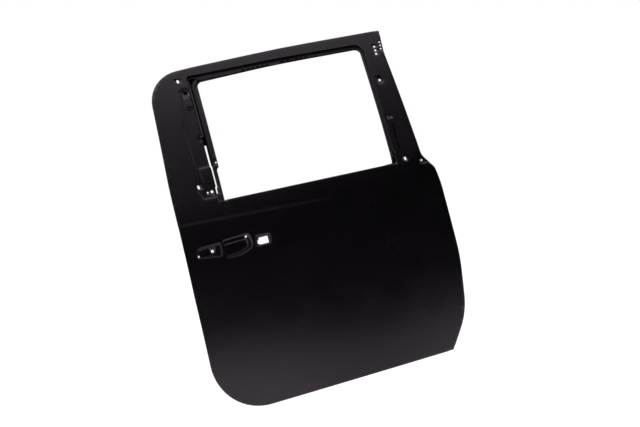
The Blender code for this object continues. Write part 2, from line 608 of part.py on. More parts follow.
def inner_panel(material, parent):
    """The pan: deep-drawn, with the shut walls, the window flange, service holes and the speaker's seat."""
    outline = rounded(inset(list(DOOR_CORNERS), HEM_CREST + INNER_EDGE_CLEARANCE))
    pan, window, levels = inner_levels()
    speaker_x, speaker_z, speaker_radius = SPEAKER
    ring = Emboss(box(speaker_x, speaker_z, 2 * (speaker_radius + SPEAKER_RING_WIDTH),
                      2 * (speaker_radius + SPEAKER_RING_WIDTH), speaker_radius + SPEAKER_RING_WIDTH - 1e-4),
                  0.006, -SPEAKER_RING_DEPTH)
    seats = [Emboss(inset(anticlockwise(list(corners)), -SERVICE_SEAT_WIDTH), 0.005, -0.005)
             for corners in SERVICE_HOLES]
    embosses = [ring] + seats

    def lift(points):
        return levels(points) + sum(emboss.press(points) for emboss in embosses)

    holes = [window, slot_outline(), disc(*TAB_HOLE, 8), disc(speaker_x, speaker_z, speaker_radius, 28)]
    holes.append(rounded(list(PILLAR_TOP_HOLE)))
    holes += [rounded(list(corners)) for corners in SERVICE_HOLES]
    holes += [disc(x, z, TRIM_CLIP_RADIUS, 8) for x, z in TRIM_CLIP_HOLES]
    holes += [disc(x, z, REGULATOR_HOLE_RADIUS, 8) for x, z in REGULATOR_NUTS]
    holes += [rounded(box(x, z, width, height, 0.006)) for x, z, width, height in SIGHT_HOLES]
    flange_edge = rounded(inset(anticlockwise(list(INNER_WINDOW_CORNERS)), -FRAME_FLANGE_REACH))
    wall_edge = rounded(inset(anticlockwise(list(INNER_WINDOW_CORNERS)), -FRAME_FLANGE_REACH - FRAME_WALL))
    creases = [pan.rim, pan.floor, flange_edge, wall_edge]
    creases += [loop for emboss in embosses for loop in (emboss.rim, emboss.floor)]
    made = pressing("inner_panel", outline, holes, creases, lift, INNER_GAUGE, material, parent)
    cut(made, wall_cutters(parent))
    return made


def wall_x(side, y):
    """Where the shut wall stands at some depth: the front one carries the hinges, the rear one the latch."""
    rim_y = HEM_FLANGE_DEPTH - 0.010
    share = (y - rim_y) / (PAN_LEVEL - rim_y)
    if side == "front":
        return HINGE_WALL_X - PAN_DRAFT_WIDTH * share
    return LATCH_WALL_X + PAN_DRAFT_WIDTH * share


WALL_DRAFT = math.atan(PAN_DRAFT_WIDTH / (PAN_LEVEL - HEM_FLANGE_DEPTH + 0.010))


def x_drill(bm, centre, radius, sides=12, length=0.030):
    turn = Matrix.Rotation(math.pi / 2, 4, "Y")
    bmesh.ops.create_cone(bm, cap_ends=True, segments=sides, radius1=radius, radius2=radius, depth=length,
                          matrix=Matrix.Translation(centre) @ turn)


def x_punch(bm, centre, size_y, size_z, length=0.030):
    made = bmesh.ops.create_cube(bm, size=1.0)
    bmesh.ops.transform(bm, verts=made["verts"],
                        matrix=Matrix.Translation(centre) @ Matrix.Diagonal((length, size_y, size_z, 1.0)))


def wall_holes():
    """Holes in the shut walls: centre and radius of the round ones, centre and size of the square ones."""
    drills, punches = [], []
    for height in (UPPER_HINGE_HEIGHT, LOWER_HINGE_HEIGHT):
        for side in (-1, 1):
            bolt = (HINGE_WALL_X, HINGE_FACE_Y, height + side * HINGE_BOLT_SPACING / 2)
            drills.append((bolt, HINGE_BOLT_HOLE_RADIUS))
    for side in (-1, 1):
        bolt = (HINGE_WALL_X, HINGE_FACE_Y, CHECK_HEIGHT + side * CHECK_BOLT_SPACING / 2)
        drills.append((bolt, CHECK_BOLT_HOLE_RADIUS))
    punches.append(((HINGE_WALL_X, HINGE_FACE_Y, CHECK_HEIGHT), *CHECK_SLOT))
    drills.append(((HINGE_WALL_X, HINGE_FACE_Y + 0.004, HARNESS_HEIGHT), HARNESS_HOLE_RADIUS))
    punches.append(((LATCH_WALL_X, LATCH_DEPTH, LATCH_HEIGHT), *LATCH_MOUTH))
    for y, z in LATCH_SCREWS:
        drills.append(((LATCH_WALL_X, y, z), LATCH_SCREW_RADIUS))
    return drills, punches


def wall_cutters(parent):
    bm = bmesh.new()
    drills, punches = wall_holes()
    for centre, radius in drills:
        x_drill(bm, centre, radius)
    for centre, size_y, size_z in punches:
        x_punch(bm, centre, size_y, size_z)
    return into_object(bm, "wall_cutters", bpy.data.materials[0], None, parent)


# Reinforcements that follow the skin or the pan

BELT_STRIP_DEPTH = BELT_HEM_DEPTH + 1.5 * FIT
BELT_BEAD_DEPTH = 0.009
OUTER_BELT_CORNERS = (
    (REAR_EDGE + 0.0614, -0.102, 0.008),
    *from_front(((0.0853, -0.106, 0.008), (0.0973, -0.046, 0.006), (0.2073, -0.038, 0.010))),
    *from_rear(((0.2054, -0.030, 0.010), (0.0614, -0.040, 0.006))))
OUTER_BELT_BEAD = (
    (REAR_EDGE + 0.0994, -0.088, 0.010), *from_front(((0.1203, -0.092, 0.010), (0.1203, -0.062, 0.010))),
    (REAR_EDGE + 0.0994, -0.056, 0.010))
INNER_BELT_CORNERS = (
    (-0.296, -0.116, 0.006), (0.291, -0.116, 0.006), (0.291, -0.066, 0.006), (0.200, -0.036, 0.020),
    (-0.205, -0.036, 0.020), (-0.296, -0.062, 0.006))
INNER_BELT_BEAD = (
    (-0.282, -0.104, 0.010), (0.277, -0.104, 0.010), (0.277, -0.076, 0.010), (0.190, -0.050, 0.030),
    (-0.195, -0.050, 0.030), (-0.282, -0.074, 0.010))
INNER_BELT_BEAD_DEPTH = 0.014
STIFFENER_HEIGHT = -0.325
STIFFENER_WIDTH = 0.042
STIFFENER_STANDOFF = 0.0050
STIFFENER_BEAD_DEPTH = 0.009
STIFFENER_BEAD_END = 0.025
STIFFENER_BEAD_EDGE = 0.009
PILLAR_BEAD_DEPTH = 0.008
FRONT_PILLAR_CORNERS = from_front((
    (0.1413, TOP_EDGE * 0.163, 0.004), (0.1013, TOP_EDGE * 0.163, 0.004), (0.0973, TOP_EDGE * 0.540, 0.004),
    (0.1343, TOP_EDGE * 0.540, 0.004)))
FRONT_PILLAR_BEAD = from_front((
    (0.1303, TOP_EDGE * 0.199, 0.004), (0.1103, TOP_EDGE * 0.199, 0.004), (0.1063, TOP_EDGE * 0.508, 0.004),
    (0.1253, TOP_EDGE * 0.508, 0.004)))
REAR_PILLAR_CORNERS = from_rear((
    (0.0494, 0.088, 0.008), (0.1374, 0.088, 0.008), (0.1514, TOP_EDGE - 0.1117, 0.008),
    (0.0824, TOP_EDGE - 0.1117, 0.008)))
REAR_PILLAR_BEAD = from_rear((
    (0.0674, 0.106, 0.012), (0.1194, 0.106, 0.012), (0.1334, TOP_EDGE - 0.1297, 0.012),
    (0.0974, TOP_EDGE - 0.1297, 0.012)))
HANDLE_SETBACK = 0.1904
HANDLE_PLATE = (REAR_EDGE + HANDLE_SETBACK, -0.191, 0.328, 0.120)
HANDLE_PLATE_OPENING = from_rear((
    (0.0374, -0.236, 0.010), (0.3364, -0.236, 0.010), (0.3364, -0.147, 0.010), (0.0374, -0.156, 0.010)))


def follow_skin(depth, embosses=()):
    def lift(points):
        return skin_y(points[:, 0], points[:, 1]) + depth + sum(emboss.press(points) for emboss in embosses)
    return lift


def follow_pan(gauge, embosses=()):
    def lift(points):
        level = np.full(len(points), PAN_LEVEL - FIT - gauge)
        return level + sum(emboss.press(points) for emboss in embosses)
    return lift


def beaded(name, corners, bead, wall, depth, follow, gauge, material, parent):
    """A strip with one long bead in it."""
    emboss = Emboss(list(bead), wall, depth)
    return pressing(name, rounded(list(corners)), [], [emboss.rim, emboss.floor], follow([emboss]), gauge,
                    material, parent)


def belt_reinforcements(material, parent):
    beaded("outer_belt_reinforcement", OUTER_BELT_CORNERS, OUTER_BELT_BEAD, 0.007, BELT_BEAD_DEPTH,
           lambda embosses: follow_skin(BELT_STRIP_DEPTH, embosses), REINFORCEMENT_GAUGE, material, parent)
    beaded("inner_belt_reinforcement", INNER_BELT_CORNERS, INNER_BELT_BEAD, 0.007, -INNER_BELT_BEAD_DEPTH,
           lambda embosses: follow_pan(REINFORCEMENT_GAUGE, embosses), REINFORCEMENT_GAUGE, material, parent)


def pillar_reinforcements(material, parent):
    depth = FRAME_DEPTH - 2.0 * FIT - 1.1 * REINFORCEMENT_GAUGE
    for name, corners, bead in (("front_pillar_reinforcement", FRONT_PILLAR_CORNERS, FRONT_PILLAR_BEAD),
                                ("rear_pillar_reinforcement", REAR_PILLAR_CORNERS, REAR_PILLAR_BEAD)):
        beaded(name, corners, bead, 0.005, -PILLAR_BEAD_DEPTH, lambda embosses: follow_skin(depth, embosses),
               REINFORCEMENT_GAUGE, material, parent)


def panel_stiffener(material, parent):
    end = HINGE_WALL_X - 0.0016
    start = LATCH_WALL_X + 0.0016
    middle, length = (start + end) / 2, end - start
    bead = box(middle, STIFFENER_HEIGHT, length - 2 * STIFFENER_BEAD_END,
               STIFFENER_WIDTH - 2 * STIFFENER_BEAD_EDGE, 0.008)
    beaded("panel_stiffener", box(middle, STIFFENER_HEIGHT, length, STIFFENER_WIDTH, 0.004), bead, 0.006,
           STIFFENER_BEAD_DEPTH, lambda embosses: follow_skin(STIFFENER_STANDOFF, embosses), SKIN_GAUGE,
           material, parent)


def handle_reinforcement(material, parent):
    opening = rounded(list(HANDLE_PLATE_OPENING))
    return pressing("handle_reinforcement", rounded(box(*HANDLE_PLATE, 0.012)), [opening], [],
                    follow_skin(SKIN_GAUGE + 2.0 * FIT), REINFORCEMENT_GAUGE, material, parent)


# Plates on the shut walls

HINGE_PLATE_FLANGE = 0.026
TAPPING_PLATE = (0.030, 0.086, 0.008)
TAPPING_HOLE_RADIUS = 0.0042
CHECK_PLATE = (0.042, 0.084)
LATCH_PLATE_FLANGE = 0.016


def stand_on_wall(made, side, height, behind=0.0):
    """Turns a flat plate so that its face lies on a shut wall, inside the pan, at the hinge face's depth."""
    lean = math.pi / 2 + WALL_DRAFT
    inward = -1.0 if side == "front" else 1.0
    made.rotation_euler = (0.0, 0.0, lean if side == "front" else -lean)
    gap = (FIT + behind) / math.cos(WALL_DRAFT)
    made.location = (wall_x(side, HINGE_FACE_Y) + inward * gap, HINGE_FACE_Y, height)
    return made


def flat(points):
    return np.zeros(len(points))


def wall_plate(name, side, height, low, high, tall, holes, flange, gauge, material, parent):
    """Plate from one depth to another, measured from the hinge face's depth, with a flange along the pan."""
    half = tall / 2
    outline = rounded([(low, -half, 0.003), (high, -half, 0.0), (high, half, 0.0), (low, half, 0.003)])
    turned_edge = high if side == "front" else low
    folds = []
    if flange:
        profile = [(math.tan(WALL_DRAFT) * flange, flange)]
        folds.append((outline, lambda x, z: abs(x - turned_edge) < 1e-5 and abs(z) < half + 1e-5, profile,
                      lambda x, z: 0.0))
    made = pressing(name, outline, holes, [], flat, gauge, material, parent, folds)
    return stand_on_wall(made, side, height)


def hinge_reinforcements(material, zinc, parent):
    reach = (PAN_LEVEL - FIT - HINGE_FACE_Y) / math.cos(WALL_DRAFT)
    for which, height in (("upper", UPPER_HINGE_HEIGHT), ("lower", LOWER_HINGE_HEIGHT)):
        bolts = [(0.0, side * HINGE_BOLT_SPACING / 2) for side in (-1, 1)]
        wall_plate(which + "_hinge_reinforcement", "front", height, reach - HINGE_PLATE_DEPTH, reach,
                   HINGE_PLATE_HEIGHT, [disc(x, z, HINGE_BOLT_HOLE_RADIUS, 12) for x, z in bolts],
                   HINGE_PLATE_FLANGE, HINGE_PLATE_GAUGE, material, parent)
        width, tall, thick = TAPPING_PLATE
        tapped = [disc(x, z, TAPPING_HOLE_RADIUS, 10) for x, z in bolts]
        block = pressing(which + "_hinge_tapping_plate", rounded(box(0.0, 0.0, width, tall, 0.004)), tapped,
                         [], flat, thick, zinc, parent)
        stand_on_wall(block, "front", height, HINGE_PLATE_GAUGE + FIT)


def check_link_reinforcement(material, parent):
    width, tall = CHECK_PLATE
    holes = [rounded(box(0.0, 0.0, *CHECK_SLOT, 0.002))]
    holes += [disc(0.0, side * CHECK_BOLT_SPACING / 2, CHECK_BOLT_HOLE_RADIUS, 8) for side in (-1, 1)]
    wall_plate("check_link_reinforcement", "front", CHECK_HEIGHT, -width / 2, width / 2, tall, holes, 0.0,
               REINFORCEMENT_GAUGE, material, parent)


def latch_reinforcement(material, parent):
    reach = (PAN_LEVEL - FIT - HINGE_FACE_Y) / math.cos(WALL_DRAFT)
    mouth_y, mouth_z = LATCH_MOUTH
    holes = [rounded(box(HINGE_FACE_Y - LATCH_DEPTH, 0.0, mouth_y, mouth_z, 0.003))]
    holes += [disc(HINGE_FACE_Y - y, z - LATCH_HEIGHT, LATCH_SCREW_RADIUS, 8) for y, z in LATCH_SCREWS]
    wall_plate("latch_reinforcement", "rear", LATCH_HEIGHT, -reach, 0.026, LATCH_PLATE_HEIGHT, holes,
               LATCH_PLATE_FLANGE, REINFORCEMENT_GAUGE, material, parent)


# Intrusion beam

BEAM_FRONT = (HINGE_WALL_X - 0.062, -0.416)
BEAM_REAR = (LATCH_WALL_X + 0.060, -0.540)
BEAM_STANDOFF = 0.021
BEAM_RADIUS = 0.014
BEAM_WALL = 0.0022
BEAM_SIDES = 16
BRACKET_HEIGHT = 0.048
BRACKET_REACH = 0.036
BRACKET_FLANGE = 0.022
BRACKET_TROUGH_WALL = 0.0075
BRACKET_TROUGH_PAST_END = BRACKET_TROUGH_WALL + 0.002
BRACKET_TROUGH_LENGTH = 0.100


def beam_axis():
    return [Vector((x, float(skin_y(x, z)) + BEAM_STANDOFF, z)) for x, z in (BEAM_REAR, BEAM_FRONT)]


def tube(name, start, end, radius, wall, sides, material, parent):
    bm = bmesh.new()
    axis = end - start
    rings = []
    for ring_radius, places in ((radius, (0.0, 1.0)), (radius - wall, (1.0, 0.0))):
        for place in places:
            rings.append([bm.verts.new((ring_radius * math.cos(math.tau * k / sides),
                                        ring_radius * math.sin(math.tau * k / sides), place * axis.length))
                          for k in range(sides)])
    for ring, following in zip(rings, rings[1:] + rings[:1]):
        for k in range(sides):
            bm.faces.new((ring[k], ring[(k + 1) % sides], following[(k + 1) % sides], following[k]))
    made = into_object(bm, name, material, None, parent)
    made.location = start
    made.rotation_euler = axis.to_track_quat("Z", "Y").to_euler()
    return made


def beam_bracket(name, side, material, parent):
    """Pressed end of the beam: a trough over the tube, and a flange down the shut wall."""
    rear, front = beam_axis()
    end, towards = (front, 1.0) if side == "front" else (rear, -1.0)
    slope = (front - rear).normalized()
    tilt = math.degrees(math.atan2(slope.z, slope.x))
    edge = wall_x(side, end.y) - towards * FIT
    inner = end.x - towards * BRACKET_REACH
    low, high = end.z - BRACKET_HEIGHT / 2, end.z + BRACKET_HEIGHT / 2
    outline = rounded(anticlockwise([
        (inner, low, 0.003), (edge, low, 0.0), (edge, high, 0.0), (inner, high, 0.003)]))
    wide = 2.0 * (BEAM_RADIUS + FIT) + 0.0050
    centre = end + slope * (towards * (BRACKET_TROUGH_PAST_END - BRACKET_TROUGH_LENGTH / 2))
    trough = Emboss(box(centre.x, centre.z, BRACKET_TROUGH_LENGTH, wide, 0.0, tilt), BRACKET_TROUGH_WALL,
                    BEAM_RADIUS + FIT + 0.0008)

    def lift(points):
        return end.y + trough.press(points)

    flange = [(-math.tan(WALL_DRAFT) * BRACKET_FLANGE, BRACKET_FLANGE)]
    folds = [(outline, lambda x, z: abs(x - edge) < 1e-5, flange, lambda x, z: end.y)]
    return pressing(name, outline, [], [trough.rim, trough.floor], lift, REINFORCEMENT_GAUGE, material,
                    parent, folds)


def intrusion_beam(material, parent):
    tube("intrusion_beam", *beam_axis(), BEAM_RADIUS, BEAM_WALL, BEAM_SIDES, material, parent)
    beam_bracket("beam_front_bracket", "front", material, parent)
    beam_bracket("beam_rear_bracket", "rear", material, parent)


# Glass guides

GUIDE_WIDTH = 0.016
GUIDE_LIP = 0.012
GUIDE_GAUGE = 0.0010
GUIDE_STANDOFF = 0.034
FRONT_GUIDE_SETBACK = 0.1823
REAR_GUIDE_SETBACK = 0.1894
GUIDES = {
    "front_glass_guide": (FRONT_EDGE - FRONT_GUIDE_SETBACK, -0.080, -0.330, -1.0),
    "rear_glass_guide": (REAR_EDGE + REAR_GUIDE_SETBACK, -0.080, -0.352, 1.0)}
GUIDE_SECTIONS = 7
GUIDE_BRACKET_HEIGHT = 0.024
GUIDE_BRACKET_LIFT = 0.004
GUIDE_BRACKET_FOOT = 0.026


def prism(name, rings, material, parent):
    """Closed solid through a row of equal rings of points, with flat ends."""
    bm = bmesh.new()
    rows = [[bm.verts.new(point) for point in ring] for ring in rings]
    count = len(rows[0])
    for row, following in zip(rows, rows[1:]):
        for k in range(count):
            bm.faces.new((row[k], row[(k + 1) % count], following[(k + 1) % count], following[k]))
    bm.faces.new(list(reversed(rows[0])))
    bm.faces.new(rows[-1])
    bmesh.ops.recalc_face_normals(bm, faces=bm.faces)
    return into_object(bm, name, material, None, parent)


def guide_profile(opens):
    """Channel section round its web: lengthwise and depth, with the open side towards the glass."""
    half, lip, gauge = GUIDE_WIDTH / 2, GUIDE_LIP, GUIDE_GAUGE
    outline = ((0.0, -half), (lip, -half), (lip, gauge - half), (gauge, gauge - half),
               (gauge, half - gauge), (lip, half - gauge), (lip, half), (0.0, half))
    return [(opens * along, depth) for along, depth in outline]


def glass_guides(material, parent):
    for name, (web_x, top_z, foot_z, opens) in GUIDES.items():
        rings = []
        for k in range(GUIDE_SECTIONS):
            z = top_z + (foot_z - top_z) * k / (GUIDE_SECTIONS - 1)
            y = float(skin_y(web_x, z)) + GUIDE_STANDOFF
            rings.append([(web_x + along, y + depth, z) for along, depth in guide_profile(opens)])
        prism(name, rings, material, parent)
        near = float(skin_y(web_x, foot_z)) + GUIDE_STANDOFF - GUIDE_WIDTH / 2
        bracket = name.replace("glass_guide", "guide_bracket")
        guide_bracket(bracket, web_x, foot_z, -opens, near, material, parent)


def guide_bracket(name, web_x, foot_z, side, near, material, parent):
    """Angle from the channel's web back to the pan."""
    web, gauge = web_x + side * FIT, REINFORCEMENT_GAUGE
    toe, far = web + side * GUIDE_BRACKET_FOOT, PAN_LEVEL - FIT
    angle = ((web, near), (web + side * gauge, near), (web + side * gauge, far - gauge), (toe, far - gauge),
             (toe, far), (web, far))
    low = foot_z + GUIDE_BRACKET_LIFT
    prism(name, [[(x, y, z) for x, y in angle] for z in (low, low + GUIDE_BRACKET_HEIGHT)], material, parent)


# Mastic pads and weld nuts

BEAM_PAD_SHARES = (0.16, 0.39, 0.62, 0.85)
STIFFENER_PAD_PLACES = (-0.420, -0.210, 0.0, 0.210, 0.400)
PAD_LENGTH = 0.034
BEAM_PAD_HEIGHT = 0.018
NUT_RADIUS = 0.0082
NUT_BORE_RADIUS = 0.0034
NUT_HEIGHT = 0.006


def pad(name, x, z, length, height, top_of, material, parent):
    """Block of mastic that fills the gap between the skin's back and what it steadies."""
    base = SKIN_GAUGE * 1.02 + FIT
    rings = []
    for end in (x - length / 2, x, x + length / 2):
        low, high = z - height / 2, z + height / 2
        backs = [(end, float(skin_y(end, height_at)) + base, height_at) for height_at in (low, high)]
        rings.append(backs + [(end, top_of(end, high), high), (end, top_of(end, low), low)])
    prism(name, rings, material, parent)


def mastic_pads(material, parent):
    rear, front = beam_axis()
    for number, share in enumerate(BEAM_PAD_SHARES, 1):
        middle = rear.lerp(front, share)

        def under_beam(x, z):
            along = (x - rear.x) / (front.x - rear.x)
            return rear.lerp(front, along).y - BEAM_RADIUS - 2.0 * FIT

        pad("beam_pad_%d" % number, middle.x, middle.z, PAD_LENGTH, BEAM_PAD_HEIGHT, under_beam, material,
            parent)
    for number, x in enumerate(STIFFENER_PAD_PLACES, 1):
        pad("stiffener_pad_%d" % number, x, STIFFENER_HEIGHT, PAD_LENGTH, STIFFENER_WIDTH * 0.9,
            lambda end, z: float(skin_y(end, z)) + STIFFENER_STANDOFF - FIT, material, parent)


def weld_nuts(material, parent):
    for number, (x, z) in enumerate(REGULATOR_NUTS, 1):
        bore = disc(0.0, 0.0, NUT_BORE_RADIUS, 8)
        nut = pressing("weld_nut_%d" % number, disc(0.0, 0.0, NUT_RADIUS, 12), [bore], [], flat, NUT_HEIGHT,
                       material, parent)
        nut.location = (x, PAN_LEVEL - FIT - NUT_HEIGHT, z)


clear_scene()
black_skin = finish_material("skin_primer", STEEL, 0.34, 0.0)
black_inner = finish_material("inner_primer", DIPPED_INNER, 0.42, 0.0)
zinc = finish_material("zinc", ZINC, 0.45, 0.8)
mastic = finish_material("mastic", MASTIC, 0.8, 0.0)

door = bpy.data.objects.new("door", None)
bpy.context.collection.objects.link(door)
hinge_face_x = wall_x("front", HINGE_FACE_Y) + INNER_GAUGE / math.cos(WALL_DRAFT)
door.location = (-hinge_face_x, -HINGE_FACE_Y, -UPPER_HINGE_HEIGHT)

outer_panel(black_skin, door)
inner_panel(black_inner, door)
belt_reinforcements(black_inner, door)
pillar_reinforcements(black_inner, door)
panel_stiffener(black_inner, door)
handle_reinforcement(black_inner, door)
hinge_reinforcements(black_inner, zinc, door)
check_link_reinforcement(black_inner, door)
latch_reinforcement(black_inner, door)
intrusion_beam(black_inner, door)
glass_guides(black_inner, door)
mastic_pads(mastic, door)
weld_nuts(zinc, door)
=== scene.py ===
"""A pickup's bare right-hand rear side door, as it comes from the press line and the dip tank."""
import math

import bmesh
import bpy
import numpy as np
from mathutils import Matrix, Vector
from mathutils.geometry import delaunay_2d_cdt


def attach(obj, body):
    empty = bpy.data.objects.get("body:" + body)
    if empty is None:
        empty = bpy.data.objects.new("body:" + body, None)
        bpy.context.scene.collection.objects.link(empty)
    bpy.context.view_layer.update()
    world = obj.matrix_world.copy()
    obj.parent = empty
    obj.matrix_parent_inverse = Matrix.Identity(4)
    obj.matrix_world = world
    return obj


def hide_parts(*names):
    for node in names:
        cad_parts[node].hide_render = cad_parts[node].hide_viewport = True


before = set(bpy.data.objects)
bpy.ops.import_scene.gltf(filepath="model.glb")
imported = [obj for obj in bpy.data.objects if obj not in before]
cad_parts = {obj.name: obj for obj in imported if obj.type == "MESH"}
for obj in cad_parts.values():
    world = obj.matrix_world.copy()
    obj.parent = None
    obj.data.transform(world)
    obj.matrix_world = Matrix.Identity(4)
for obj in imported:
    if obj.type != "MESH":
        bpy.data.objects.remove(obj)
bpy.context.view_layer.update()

# Outer panel
# The door's skin, one stamping of 0.8 mm steel, drawn over a bowed section, punched and hemmed round the pan.
# Everything is drawn on the side view, with heights from the belt line, and hung from the upper hinge.

HANG = Vector((-0.459832, -0.034, 0.180))
SKIN_GAUGE = 0.0008
INNER_GAUGE = 0.0010
FIT = 0.0003
SECTION_HEIGHTS = (-0.790, -0.420, -0.300, -0.100, 0.0, 0.510)
SECTION_LEANS = (-9.0, -1.5, 0.0, 2.0, 14.0, 20.0)
SECTION_STEP = 0.002
PLAN_BOW_RADIUS = 16.0
FEATURE_LINE = ((-0.371, -0.082), (0.080, -0.104))
FEATURE_LINE_DEPTH, FEATURE_LINE_WIDTH = 0.0026, 0.0156
FEATURE_LINE_ENDS = (-0.515, 0.165)
LEDGE_OVERRUN, LEDGE_RUN_OUT = 0.06, 0.14
SWELL_REACH, SWELL_FADE = 0.30, 0.25
# Corners are given by place along the door, height and rounding.
DOOR_CORNERS = (
    (0.4005, -0.7777, 0.006), (0.4824, -0.6527, 0.278), (0.5088, -0.4336, 0.800), (0.5046, -0.1392, 0.500),
    (0.4954, -0.0813, 0.040), (0.4564, -0.0235, 0.035), (0.4624, 0.3988, 0.078), (0.4784, 0.4965, 0.006),
    (0.0569, 0.5026, 6.322), (-0.2989, 0.4957, 0.800), (-0.4778, 0.4876, 0.134), (-0.5305, 0.0094, 2.239),
    (-0.5368, -0.3391, 1.500), (-0.5394, -0.7777, 0.192))
SKIN_WINDOW_CORNERS = (
    (-0.362, -0.0207, 0.010), (-0.352, 0.205, 0.500), (-0.334, 0.464, 0.014), (0.020, 0.466, 5.000),
    (0.384, 0.458, 0.034), (0.361, 0.147, 0.500), (0.346, -0.0347, 0.010))
HEM_CREST, HEM_ROLL, HEM_REACH = 0.0015, 0.86, 0.009
HEM_FLANGE_DEPTH = SKIN_GAUGE + 2.0 * FIT
HEM_DEPTH = HEM_FLANGE_DEPTH + INNER_GAUGE + 2.0 * FIT + SKIN_GAUGE
HEM_NOTCHES = (
    (0.4005, -0.7777, 0.016), (0.4784, 0.4965, 0.016), (0.477, -0.0555, 0.016), (0.4682, 0.434, 0.024))
WINDOW_RETURN, WINDOW_FOOT = 0.0135, 0.010
REAR_SLOT_X, REAR_SLOT_FOOT, REAR_SLOT_TOP = -0.30, 0.026, 0.215
BELT_HEM_DEPTH, BELT_HEM_CREST = 0.0026, 0.0012
BELT_HEM_LEVEL, BELT_HEM_ENDS = -0.018, (-0.350, 0.333)
TRIM_SEAT = (
    (-0.298, -0.004, 0.0), (-0.298, 0.415, 0.0), (-0.372, 0.415, 0.012), (-0.388, 0.330, 0.050),
    (-0.405, 0.260, 0.080), (-0.409, 0.090, 0.200), (-0.428, 0.035, 0.014), (-0.414, -0.004, 0.014))
TRIM_SEAT_WALL, TRIM_SEAT_DEPTH = 0.004, 0.0035
CLIP_BOSSES = ((-0.3575, 0.3635, 0.031, 0.046, 0.003), (-0.3745, 0.0850, 0.046, 0.054, 0.003))
CLIP_BOSS_WALL, CLIP_BOSS_RISE = 0.002, 0.0018
CAP_POCKET = (
    (-0.497, -0.203, 0.007), (-0.399, -0.216, 0.010), (-0.397, -0.166, 0.006), (-0.484, -0.169, 0.014))
CAP_POCKET_WALL, CAP_POCKET_DEPTH = 0.004, 0.0045
CUP_RIM = (
    (-0.391, -0.228, 0.012), (-0.335, -0.228, 0.040), (-0.277, -0.208, 0.026), (-0.284, -0.153, 0.018),
    (-0.391, -0.159, 0.006))
CUP_FLOOR = (
    (-0.383, -0.217, 0.006), (-0.340, -0.217, 0.020), (-0.298, -0.203, 0.010), (-0.301, -0.176, 0.008),
    (-0.383, -0.179, 0.004))
CUP_DEPTH = 0.020
PIVOT_SEAT = (
    (-0.275, -0.213, 0.008), (-0.212, -0.213, 0.010), (-0.208, -0.173, 0.010), (-0.269, -0.170, 0.008))
PIVOT_SEAT_WALL, PIVOT_SEAT_DEPTH = 0.003, 0.0022
PIVOT_HOLE = (
    (-0.257, -0.207, 0.003), (-0.222, -0.207, 0.003), (-0.222, -0.182, 0.003), (-0.257, -0.182, 0.003),
    (-0.257, -0.191, 0.001), (-0.263, -0.191, 0.002), (-0.263, -0.204, 0.002), (-0.257, -0.204, 0.001))
PILLAR_GROOVE = ((0.373, 0.018, 0.003), (0.381, 0.017, 0.003), (0.391, 0.116, 0.003), (0.383, 0.119, 0.003))
PILLAR_GROOVE_WALL, PILLAR_GROOVE_DEPTH = 0.0028, 0.0075
PILLAR_DISH, PILLAR_DISH_HOLE = (0.401, 0.297, 0.032, 0.036, 0.014), (0.401, 0.296, 0.009, 0.008, 0.001)
PILLAR_DISH_WALL, PILLAR_DISH_DEPTH = 0.007, 0.0022
SHOULDER_SLIT = (0.457, -0.0555, 0.029, 0.0018)
# Holes are given by place along the door, height and radius, or else by width, height and turn in degrees.
SCREW_HOLES = (
    (0.430, 0.417, 0.0042), (0.428, 0.403, 0.0042), (0.4315, 0.433, 0.0042), (0.4580, 0.434, 0.0034),
    (0.4550, 0.420, 0.0034), (0.4600, 0.448, 0.0034))
ROUND_HOLES = (
    (-0.433, -0.189, 0.0050), (-0.4865, -0.1965, 0.0034), (-0.299, -0.1665, 0.0035),
    (0.383, 0.147, 0.0035), (0.449, -0.045, 0.0035), (-0.392, 0.020, 0.0030), (-0.376, 0.020, 0.0050))
OBLONG_HOLES = (
    (-0.369, 0.450, 0.009, 0.013, 4), (-0.354, 0.401, 0.013, 0.009, 4), (-0.419, 0.046, 0.009, 0.014, 12),
    (0.386, -0.025, 0.009, 0.013, 10))
FULL_ROUND = 0.49
ARC_STEP, ARC_CHORD, FINE_RADIUS = math.radians(9), 0.02, 1.0
SHARP_RADIUS, STRAIGHT_TURN = 1e-5, 1e-4
ROW_STEP, COLUMN_STEP = 0.008, 0.016
GRID_CLEARANCE, ON_LINE, WELD, THINNEST = 0.003, 1e-4, 1e-6, 5e-8
SHARP_EDGE = math.radians(32)
TINY, POINTS_AT_ONCE = 1e-12, 4000
PRIMER_TINT, PRIMER_SHADES, PRIMER_SPREAD = (0.97, 0.86, 1.0, 1.0), (0.80, 1.22), (-0.05, 0.05)
PRIMER_CLOUD, PRIMER_PEEL, PEEL_HEIGHT = (9.0, 5.0), (420.0, 2.0), 0.0002

section_z = np.arange(SECTION_HEIGHTS[0], SECTION_HEIGHTS[-1], SECTION_STEP)
section_y = np.cumsum(np.tan(np.radians(np.interp(section_z, SECTION_HEIGHTS, SECTION_LEANS)))) * SECTION_STEP
section_y -= np.interp(0.0, section_z, section_y)


def smooth(share):
    """Share of a rise that starts and ends gently."""
    share = np.clip(share, 0.0, 1.0)
    return share * share * (3.0 - 2.0 * share)


def skin_y(x, z):
    """Outer face of the skin: its section, its lengthwise bow and the ledge of its feature line."""
    (rear_x, rear_z), (front_x, front_z) = FEATURE_LINE
    line_z = rear_z + (front_z - rear_z) * (x - rear_x) / (front_x - rear_x)
    ledge = 1.0 - smooth((z - line_z) / FEATURE_LINE_WIDTH + 0.5)
    fade = smooth((front_x + LEDGE_OVERRUN - x) / LEDGE_RUN_OUT)
    fade *= smooth((z - line_z + SWELL_REACH) / SWELL_FADE)
    bowed = np.interp(z, section_z, section_y) + x * x / (2.0 * PLAN_BOW_RADIUS)
    return bowed - FEATURE_LINE_DEPTH * ledge * fade


